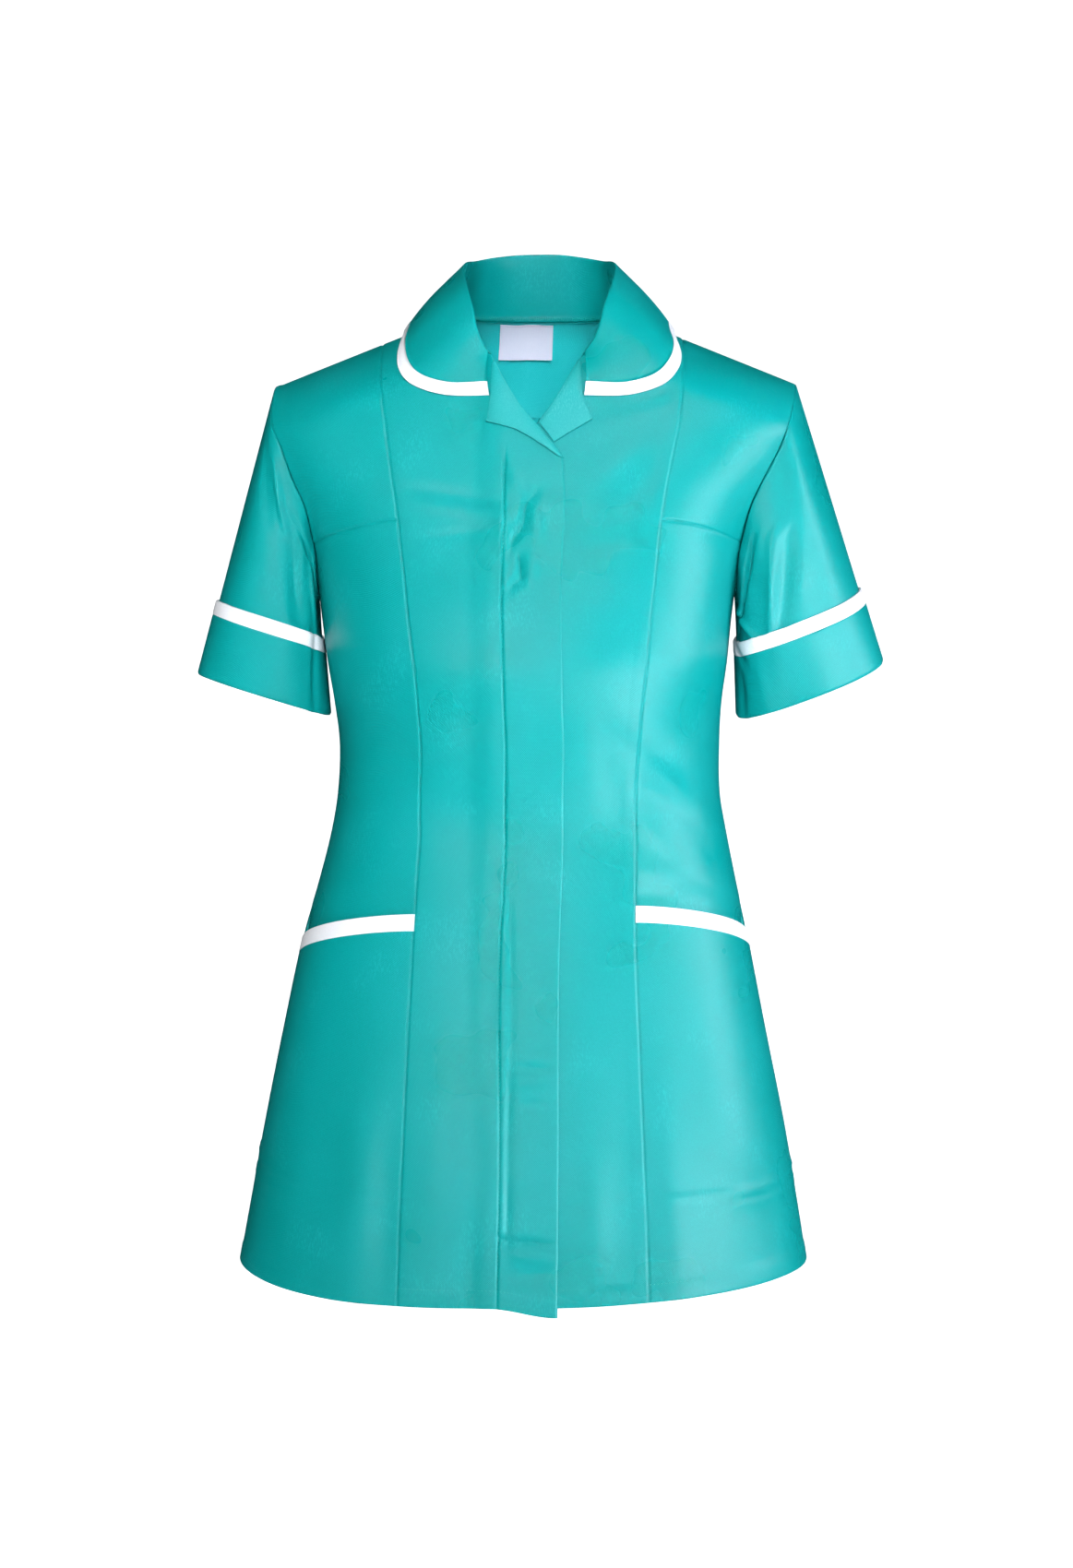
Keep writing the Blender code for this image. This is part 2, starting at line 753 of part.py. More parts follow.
def collar_station(t, side_sign):
    """Points across the collar at a place t rows from the centre back: seam, roll, fall, edge."""
    index = min(int(t), len(COLLAR) - 2)
    near = [COLLAR[min(max(index + i, 0), len(COLLAR) - 1)] for i in (-1, 0, 1, 2)]
    share = t - index

    def blend(a, b, c, d):
        return 0.5 * (
            2 * b
            + (c - a) * share
            + (2 * a - 5 * b + 4 * c - d) * share**2
            + (3 * b - a - 3 * c + d) * share**3
        )

    necks = [neck_point(row.neck_reach, row.neck_face, side_sign) for row in near]
    edges = []
    for row in near:
        x = side_sign * row.edge_reach - NECK_LEAN * (row.edge_drop / COLLAR[-1].edge_drop) ** 2
        face = row.neck_face
        z = min(-row.edge_drop, crest(x) - 0.0001)
        edges.append(body_point(angle_of_place(x, z), z, face))
    if index == 0:
        necks[0] = Vector((-necks[2].x, necks[2].y, necks[2].z))
        edges[0] = Vector((-edges[2].x, edges[2].y, edges[2].z))
    neck, edge = blend(*necks), blend(*edges)
    stand = blend(*[row.stand for row in near])
    lean = blend(*[row.lean for row in near])
    away = Vector((neck.x, neck.y, 0)).normalized()
    roll = neck + stand * (away * math.sin(lean) + Vector((0, 0, 1)) * math.cos(lean))
    return neck, roll, lifted(edge, COLLAR_CLOTH + COLLAR_LIFT)


def collar_path(t, side_sign):
    """The collar's visible side from the neck seam over the roll to its outer edge."""
    neck, roll, edge = collar_station(t, side_sign)
    up, out = roll - neck, edge - roll
    back = min(COLLAR_ROLL, up.length * 0.45)
    start = roll - up.normalized() * back
    end = roll + out.normalized() * back
    path = [neck, neck.lerp(start, 0.5)]
    for share in (0.0, 0.5, 1.0):
        path.append(start.lerp(roll, share).lerp(roll.lerp(end, share), share))
    away = Vector((edge.x, edge.y, 0)).normalized()
    for share in COLLAR_FALL:
        bow = away * COLLAR_BOW * math.sin(math.pi * share)
        path.append(lifted(end.lerp(edge, share) + bow, COLLAR_CLOTH + COLLAR_LIFT))
    path.append(edge)
    return path


def cut_path(path, from_end):
    """The path's points up to a distance from its end, where it is cut, and its direction there."""
    left, kept = from_end, list(path)
    while (kept[-1] - kept[-2]).length < left:
        left -= (kept[-1] - kept[-2]).length
        kept.pop()
    direction = (kept[-1] - kept[-2]).normalized()
    last = kept[-1] - direction * left
    return kept[:-1], last, direction


def grid_normals(grid):
    """Normals of a grid of points, from its neighbours."""
    rows, columns = len(grid), len(grid[0])
    normals = []
    for i in range(rows):
        line = []
        for j in range(columns):
            down = grid[min(i + 1, rows - 1)][j] - grid[max(i - 1, 0)][j]
            across = grid[i][min(j + 1, columns - 1)] - grid[i][max(j - 1, 0)]
            line.append(across.cross(down).normalized())
        normals.append(line)
    return normals


def collar():
    places = [(len(COLLAR) - 1) * share for share in even(COLLAR_STATIONS)]
    round_neck = [(t, -1) for t in reversed(places)] + [(t, 1) for t in places[1:]]
    paths = [collar_path(t, sign) for t, sign in round_neck]
    body, strip = [], []
    for path in paths:
        kept, last, direction = cut_path(path, TRIM_WIDTH)
        while len(kept) > COLLAR_LINES:
            kept.pop(-2)
        while len(kept) < COLLAR_LINES:
            kept.insert(-1, kept[-2].lerp(kept[-1], 0.5))
        body.append(kept + [last - direction * GAP / 2])
        strip.append([last + direction * GAP / 2, last.lerp(path[-1], 0.5), path[-1]])
    for name, grid, finish in (("collar", body, TEAL), ("collar_trim", strip, WHITE)):
        normals = grid_normals(grid)
        under = [
            [point - normal * COLLAR_CLOTH for point, normal in zip(*lines)]
            for lines in zip(grid, normals)
        ]
        wall(name, grid, under, finish)


def flap(name, rows, lift, finish):
    """A turned-back rever on the front's points, moved out."""
    outer, inner = [], []
    for row in rows:
        line_outer, line_inner = [], []
        for share in even(4):
            x = row.fold_place * (1 - share) + row.edge_place * share
            z = -(row.fold_drop * (1 - share) + row.edge_drop * share)
            point = body_point(angle_of_place(x, z), z, FRONT)
            normal = body_normal(point)
            rise = lift(x, z) + REVER_LIFT + REVER_BULGE * math.sin(math.pi * share / 1.2)
            line_inner.append(point + normal * rise)
            line_outer.append(point + normal * (rise + CLOTH))
        outer.append(line_outer)
        inner.append(line_inner)
    wall(name, outer, inner, finish)


def neck_label():
    """A bare woven label that hangs from the neck seam inside the back."""
    outer, inner = [], []
    for down in even(2):
        line_outer, line_inner = [], []
        for across in even(4):
            z = -LABEL_TOP - (LABEL_BOTTOM - LABEL_TOP) * down
            x = LABEL_PLACE + LABEL_WIDTH * (across - 0.5)
            point = body_point(angle_of_place(x, z), z, BACK)
            normal = body_normal(point)
            inwards = LAYER + LAYER_ROOM + LABEL_HANG * down
            line_outer.append(point - normal * inwards)
            line_inner.append(point - normal * (inwards + LABEL_CLOTH))
        outer.append(line_outer)
        inner.append(line_inner)
    wall("neck_label", outer, inner, LABEL)


# ---------------------------------------------------------------- sleeves


def around(count):
    """Turns round a sleeve: 0 at the shoulder, then down the front and up the back."""
    return [2 * math.pi * i / count for i in range(count)]


def armhole_loop(side):
    """The sleeve's first row and its normals, a gap away from the body's pieces."""
    sign = -1 if side == "right" else 1
    tip_x = sign * read_table(ARMHOLES, "drop", ARMHOLE_TOP, side) + section(ARMHOLE_TOP, "centre")
    top = crest(tip_x)
    middle, half = (top - UNDERARM) / 2, (top + UNDERARM) / 2
    seam = []
    for turn in around(SLEEVE_LINES):
        z = middle + half * math.cos(turn)
        face = FRONT if turn < math.pi else BACK
        seam.append(body_point(sign * armhole_angle(z, side), z, face))
    loop, normals = [], []
    for i, point in enumerate(seam):
        along = seam[(i + 1) % len(seam)] - seam[i - 1]
        normal = body_normal(point)
        away = along.cross(normal).normalized()
        if away.x * sign + away.z * 0.5 < 0:
            away = -away
        low = max(0.0, -math.cos(2 * math.pi * i / len(seam))) ** 4
        loop.append(point + away * (GAP + ARMHOLE_ROOM + UNDERARM_ROOM * low))
        normals.append(normal)
    return loop, normals


def hem_point(hem, turn):
    """A point of the sleeve's open end, a rounded oval that tilts and hangs lower in front."""
    sign = -1 if hem.side == "right" else 1
    out, forth = math.cos(turn), math.sin(turn)
    out = math.copysign(abs(out) ** (2 / SLEEVE_ROUNDNESS), out)
    forth = math.copysign(abs(forth) ** (2 / SLEEVE_ROUNDNESS), forth)
    x = hem.middle + sign * hem.across * math.cos(hem.tilt) * out
    y = hem.behind - hem.deep * forth
    z = -hem.drop + hem.across * math.sin(hem.tilt) * out - hem.front_fall * max(forth, 0)
    return Vector((x, y, z))


def clear_of_side(point, sign, least):
    """Moves a point sideways until it stands clear of the body's side."""
    z = point.z
    share = min(abs(point.y) / full_depth(z, BACK if point.y > 0 else FRONT), 1.0)
    reach = section(-z, "half_width") * roundness_share(share)
    limit = section(-z, "centre") + sign * (reach + least)
    if point.x * sign < limit * sign:
        point.x = limit
    return point


def sleeve_row(hem, loop, upper, above_hem, out):
    """One row round a sleeve: a share of the way down to the cuff's band, or a distance
    above the hem, moved out by a layer."""
    sign = -1 if hem.side == "right" else 1
    middle = hem_point(hem, 0).lerp(hem_point(hem, math.pi), 0.5)
    row = []
    for turn, start in zip(around(SLEEVE_LINES), loop):
        end = hem_point(hem, turn)
        length = (end - start).length
        if above_hem is None:
            down = upper * (1 - (CUFF_DEPTH + TRIM_WIDTH) / length)
        else:
            down = 1 - above_hem / length
        point = start.lerp(end, down)
        puff = SLEEVE_PUFF * math.sin(math.pi * down**0.8) * math.sin(turn)
        point.y -= puff
        away = end - middle
        away.z = 0
        point += away.normalized() * out
        if point.z < UNDERARM_ROOM - UNDERARM:
            below = UNDERARM_ROOM - UNDERARM - point.z
            least = (SLEEVE_CLEAR - out) * min(below / SLEEVE_CLEARS_OVER, 1.0)
            point = clear_of_side(point, sign, least)
        row.append(point)
    return row


def tube(name, grid, finish, first_normals=None):
    """A closed wall round a sleeve, its inner points moved in from its outer ones."""
    inner = []
    rows = len(grid)
    for r, row in enumerate(grid):
        centre = sum(row, Vector()) / len(row)
        line = []
        for i, point in enumerate(row):
            round_it = row[(i + 1) % len(row)] - row[i - 1]
            down = grid[min(r + 1, rows - 1)][i] - grid[max(r - 1, 0)][i]
            normal = round_it.cross(down).normalized()
            if normal.dot(point - centre) < 0:
                normal = -normal
            if r == 0 and first_normals:
                normal = first_normals[i]
            line.append(point - normal * CLOTH)
        inner.append(line)
    wall(name, grid, inner, finish, closed=True)


def sleeves():
    for hem in SLEEVE_HEMS:
        loop, normals = armhole_loop(hem.side)
        grid = [loop]
        grid += [sleeve_row(hem, loop, share, None, 0.0) for share in SLEEVE_ROWS]
        under_cuff = (CUFF_DEPTH, CUFF_DEPTH / 2, SLEEVE_END)
        grid += [sleeve_row(hem, loop, 1.0, above, 0.0) for above in under_cuff]
        tube("sleeve_" + hem.side, grid, TEAL, normals)
        bands = (
            ("cuff_trim_", CUFF_DEPTH + TRIM_WIDTH, CUFF_DEPTH + GAP / 2, WHITE),
            ("cuff_", CUFF_DEPTH - GAP / 2, 0.0, TEAL),
        )
        for name, high, low, finish in bands:
            heights = (high, (high + low) / 2, low)
            grid = [sleeve_row(hem, loop, 1.0, above, LAYER + CUFF_ROOM) for above in heights]
            tube(name + hem.side, grid, finish)


def build():
    clear_scene()
    centre_fronts()
    for side in ("right", "left"):
        side_pieces(side)
        pocket(side)
    backs()
    collar()
    flap("rever_right", REVER_RIGHT, lap_lift, TEAL_INSIDE)
    flap("rever_left", REVER_LEFT, lambda x, z: 0.0, TEAL_INSIDE)
    neck_label()
    sleeves()


build()
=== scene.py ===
"""The look of a short-sleeved work tunic, worn form: teal twill with white trims.

Metres, +Z up, the front faces -Y and +X is the wearer's left. The origin lies on the neck's
centre line, level with the neck ends of the shoulder seams. A "drop" is a distance below it.
The file follows the tunic as it is sewn, from the fronts and the back to the sleeves.
"""

import math
from collections import namedtuple

import bpy
import numpy as np
from mathutils import Matrix, Vector


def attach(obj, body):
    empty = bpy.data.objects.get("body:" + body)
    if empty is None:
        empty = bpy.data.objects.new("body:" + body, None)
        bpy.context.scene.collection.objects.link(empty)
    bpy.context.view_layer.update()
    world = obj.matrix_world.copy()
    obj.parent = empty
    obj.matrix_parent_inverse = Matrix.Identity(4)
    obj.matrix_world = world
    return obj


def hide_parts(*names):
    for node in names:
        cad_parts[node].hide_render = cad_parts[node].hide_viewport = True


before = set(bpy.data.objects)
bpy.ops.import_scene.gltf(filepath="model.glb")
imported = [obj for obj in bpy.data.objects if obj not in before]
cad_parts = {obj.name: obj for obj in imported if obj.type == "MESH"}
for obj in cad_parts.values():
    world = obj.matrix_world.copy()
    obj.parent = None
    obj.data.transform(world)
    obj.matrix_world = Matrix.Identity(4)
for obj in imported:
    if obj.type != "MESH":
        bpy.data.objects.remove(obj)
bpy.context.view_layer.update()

# ------------------------------------------------------------------ camera
# A long lens, 2.8 m in front of the tunic and level with its underarms, that looks slightly
# down to the waist.

eye = Vector((-0.0024, -2.8, -0.20))
aim = Vector((-0.0024, 0.0, -0.340))
camera_data = bpy.data.cameras.new("camera")
camera_data.sensor_width = 36.0
camera_data.lens = 88.2
camera = bpy.data.objects.new("camera", camera_data)
camera.matrix_world = (
    Matrix.Translation(eye) @ (aim - eye).to_track_quat("-Z", "Y").to_matrix().to_4x4()
)
bpy.context.scene.collection.objects.link(camera)
bpy.context.scene.camera = camera

# ------------------------------------------------------------------ studio
# A closed round room of pale paper, which only the camera sees. The light comes from an even
# room light and six soft lamps: the main one on the right of the picture, and others low and
# high in front, on the left, behind and below.


class Field:
    """A socket of a material's tree that can be used in sums."""

    def __init__(self, tree, socket=None):
        self.tree, self.socket = tree, socket

    def node(self, kind, settings=None, inputs=None, output=0):
        """Any other node: its settings first, then the values or links of its sockets."""
        made = self.tree.nodes.new("ShaderNode" + kind)
        for name, value in (settings or {}).items():
            setattr(made, name, value)
        for name, value in (inputs or {}).items():
            if isinstance(value, Field):
                self.tree.links.new(value.socket, made.inputs[name])
            else:
                made.inputs[name].default_value = value
        return Field(self.tree, made.outputs[output])

    def maths(self, operation, first, second):
        """A Math node of two fields or numbers."""
        return self.node("Math", {"operation": operation}, {0: first, 1: second})

    def __add__(self, other):
        return self.maths("ADD", self, other)

    __radd__ = __add__

    def __sub__(self, other):
        return self.maths("SUBTRACT", self, other)

    def __rsub__(self, other):
        return self.maths("SUBTRACT", other, self)

    def __mul__(self, other):
        return self.maths("MULTIPLY", self, other)

    __rmul__ = __mul__

    def above(self, low, high):
        """0 under the low value and 1 over the high one, smooth between."""
        settings = {"interpolation_type": "SMOOTHSTEP"}
        return self.node("MapRange", settings, {0: self, 1: low, 2: high})

    def mixed(self, first, second):
        """A colour between two, by this field."""
        inputs = {"Factor": self, 6: first, 7: second}
        return self.node("Mix", {"data_type": "RGBA"}, inputs, 2)


def new_material(name):
    """An empty material, the start of its tree and its surface shader."""
    made = bpy.data.materials.new(name)
    made.use_nodes = True
    tree = made.node_tree
    return made, Field(tree), tree.nodes["Principled BSDF"]


def feed(tree, shader, name, field):
    """Links a field to a socket of the surface shader."""
    tree.links.new(field.socket, shader.inputs[name])


def add_mesh(name, points, faces, made_of):
    """A smooth object of one material from points and faces."""
    mesh = bpy.data.meshes.new(name)
    mesh.from_pydata(np.asarray(points).tolist(), [], np.asarray(faces).tolist())
    mesh.shade_smooth()
    mesh.materials.append(made_of)
    made = bpy.data.objects.new(name, mesh)
    bpy.context.scene.collection.objects.link(made)
    return made


PAPER_DARK = (0.93, 0.93, 0.93, 1)
PAPER_LIGHT = (0.95, 0.95, 0.95, 1)
PAPER_GLOW = 0.90
paper, start, shader = new_material("pale_paper")
grain = start.node("TexNoise", None, {"Scale": 3.0, "Detail": 2.0})
feed(paper.node_tree, shader, "Base Color", grain.mixed(PAPER_DARK, PAPER_LIGHT))
shader.inputs["Roughness"].default_value = 0.9
shader.inputs["Emission Color"].default_value = (1, 1, 1, 1)
shader.inputs["Emission Strength"].default_value = PAPER_GLOW

# The room's floor, ceiling and radius, the radius of its rounded edges, and its facets
FLOOR_LEVEL = -2.0
SWEEP_TOP = 4.2
SWEEP_RADIUS = 5.8
COVE_RADIUS = 1.2
SWEEP_TURNS = 48
profile = [(0.0, FLOOR_LEVEL)]
for turn in np.radians(np.arange(-90, 91, 10)):
    middle = FLOOR_LEVEL + COVE_RADIUS if turn < 0 else SWEEP_TOP - COVE_RADIUS
    out = SWEEP_RADIUS - COVE_RADIUS * (1 - math.cos(turn))
    profile.append((out, middle + COVE_RADIUS * math.sin(turn)))
profile.append((0.0, SWEEP_TOP))
corners = [
    (out * math.sin(turn), out * math.cos(turn), level)
    for out, level in profile
    for turn in 2 * math.pi * np.arange(SWEEP_TURNS) / SWEEP_TURNS
]
strips = []
for row in range(0, len(corners) - SWEEP_TURNS, SWEEP_TURNS):
    for i in range(SWEEP_TURNS):
        here, beside = row + i, row + (i + 1) % SWEEP_TURNS
        strips.append((here, beside, beside + SWEEP_TURNS, here + SWEEP_TURNS))
sweep = add_mesh("studio_sweep", corners, strips, paper)
sweep.visible_glossy = False
sweep.visible_diffuse = False
sweep.visible_shadow = False

ROOM_LIGHT = 0.14
COOL = (0.88, 0.92, 1.0)
WARM = (1.0, 1.0, 0.84)
EVEN = (0.95, 0.97, 1.0)
# Columns: name, place, what it points at, size, power in watts, spread in degrees, colour, and
# whether it makes highlights
Lamp = namedtuple("Lamp", "name place target size power spread colour glossy")
LAMPS = (
    Lamp("key_light", (2.3, -1.2, -0.50), (0.0, 0.0, -0.35), 1.3, 70.0, 180, COOL, True),
    Lamp("low_light", (-0.1, -1.7, -1.10), (0.0, -0.1, -0.20), 0.6, 0.28, 34, COOL, True),
    Lamp("fill_light", (-1.9, -2.1, 0.80), (0.0, 0.0, -0.15), 1.8, 16.0, 180, WARM, False),
    Lamp("front_light", (0.1, -2.5, 0.60), (-0.04, 0.0, -0.20), 1.2, 6.5, 34, EVEN, False),
    Lamp("back_light", (0.0, 2.7, 0.2), (0.0, 0.0, 0.0), 4.6, 60.0, 180, EVEN, False),
    Lamp("floor_light", (0.0, 0.0, -1.9), (0.0, 0.0, 0.0), 5.0, 70.0, 180, EVEN, False),
)
for lamp in LAMPS:
    light = bpy.data.lights.new(lamp.name, "AREA")
    light.size = lamp.size
    light.energy = lamp.power
    light.color = lamp.colour
    light.spread = math.radians(lamp.spread)
    holder = bpy.data.objects.new(lamp.name, light)
    holder.location = lamp.place
    holder.visible_glossy = lamp.glossy
    holder.visible_camera = False
    toward = Vector(lamp.target) - Vector(lamp.place)
    holder.rotation_euler = toward.to_track_quat("-Z", "Y").to_euler()
    bpy.context.scene.collection.objects.link(holder)
room = bpy.data.worlds.new("room_light")
room.use_nodes = True
bpy.context.scene.world = room
sky = room.node_tree.nodes["Background"]
sky.inputs["Color"].default_value = (1, 1, 1, 1)
sky.inputs["Strength"].default_value = ROOM_LIGHT
room.cycles_visibility.glossy = False
bpy.context.scene.view_settings.view_transform = "Standard"

# ------------------------------------------------------------------ centre fronts
# Two long pieces of polyester and cotton twill, seamed to their neighbours and pressed. The
# right one laps over the left one, with the fastening hidden behind its folded edge. They lie
# on one surface with the side fronts and the back, so that all the seams meet edge to edge.

FRONT, BACK = -1, 1
CLOTH = 0.0012
ROUNDNESS = 2.4  # of a level section: 2 is an ellipse, and more is squarer
NECK_HALF_WIDTH = 0.061
NECK_RISE = 0.030  # of the surface inside the neck, where there is no cloth
NECK_LEAN = 0.0023  # how far the neck's front ends stand to the right
SHOULDER_SLOPE = 0.398  # fall of the shoulder seam for its reach outwards
SHOULDER_ROUND = 0.045  # height over which a section fills out below the shoulder seam
HEM_SIDE = 0.686  # drop of the hem at the side seams, and of the whole hem behind
HEM_FRONT_EXTRA = 0.0145
HEM_CURVE = {"right": 4.2, "left": 2.0}  # the higher, the nearer to the side the hem rises
LAP_EDGE = 0.0245
LAP_LIFT = 0.0023
LAP_CLIMB = (-0.024, -0.003)  # from the underlap's edge: where the lap climbs on to the left front
LAP_CORNER_EXTRA = 0.0065
LAP_CORNER = (-0.035, 0.012)  # where the hem falls to the lap's corner
LAP_TOP_LESS = 0.003
LAP_TOP = (-0.14, -0.10)  # heights between which the lap's edge comes in, below the revers
UNDERLAP_EDGE = -0.019

# Columns: drop, sideways centre, half width, depth in front and behind, and how far the two
# long front seams stand from the centre
SECTIONS = np.array(
    (
        (-0.005, 0.0000, 0.2050, 0.070, 0.069, 0.1140, 0.1045),
        (0.030, -0.0020, 0.2050, 0.078, 0.082, 0.1115, 0.1045),
        (0.050, -0.0030, 0.2050, 0.088, 0.090, 0.1100, 0.1040),
        (0.080, -0.0040, 0.2035, 0.098, 0.098, 0.1050, 0.1020),
        (0.100, -0.0050, 0.1950, 0.104, 0.102, 0.1015, 0.0990),
        (0.120, -0.0060, 0.1840, 0.109, 0.105, 0.0980, 0.0960),
        (0.140, -0.0068, 0.1710, 0.113, 0.106, 0.0940, 0.0935),
        (0.165, -0.0080, 0.1585, 0.118, 0.106, 0.0900, 0.0915),
        (0.190, -0.0090, 0.1525, 0.123, 0.105, 0.0860, 0.0900),
        (0.215, -0.0095, 0.1490, 0.128, 0.103, 0.0830, 0.0875),
        (0.250, -0.0090, 0.1450, 0.131, 0.099, 0.0790, 0.0840),
        (0.280, -0.0085, 0.1405, 0.128, 0.093, 0.0770, 0.0805),
        (0.310, -0.0075, 0.1380, 0.121, 0.087, 0.0760, 0.0770),
        (0.345, -0.0080, 0.1390, 0.114, 0.083, 0.0765, 0.0755),
        (0.375, -0.0080, 0.1440, 0.112, 0.084, 0.0765, 0.0755),
        (0.410, -0.0090, 0.1520, 0.114, 0.090, 0.0780, 0.0765),
        (0.450, -0.0105, 0.1620, 0.118, 0.100, 0.0790, 0.0780),
        (0.515, -0.0112, 0.1755, 0.124, 0.113, 0.0815, 0.0810),
        (0.590, -0.0112, 0.1905, 0.130, 0.120, 0.0850, 0.0840),
        (0.640, -0.0115, 0.1992, 0.133, 0.123, 0.0870, 0.0865),
        (0.720, -0.0125, 0.2130, 0.138, 0.127, 0.0880, 0.0895),
    )
)
COLUMNS = ("drop", "centre", "half_width", "front", "back", "seam_right", "seam_left")

# Columns: distance from the centre and drop of the neck seam in front
NECK_SEAM = np.array(
    (
        (0.0322, 0.0330),
        (0.0370, 0.0280),
        (0.0430, 0.0220),
        (0.0500, 0.0130),
        (0.0560, 0.0050),
        (0.0610, 0.0004),
    )
)

# Columns: sideways place and drop of the folded edge of each rever
FOLD_RIGHT = np.array(
    (
        (-0.0345, 0.0335),
        (-0.0209, 0.0585),
        (-0.0105, 0.0742),
        (-0.0027, 0.0827),
        (0.0089, 0.0970),
        (0.0190, 0.1095),
        (0.0300, 0.1230),
    )
)
FOLD_LEFT = np.array(
    (
        (-0.0300, 0.1280),
        (-0.0190, 0.1095),
        (-0.0021, 0.0814),
        (0.0102, 0.0650),
        (0.0226, 0.0433),
        (0.0299, 0.0330),
    )
)

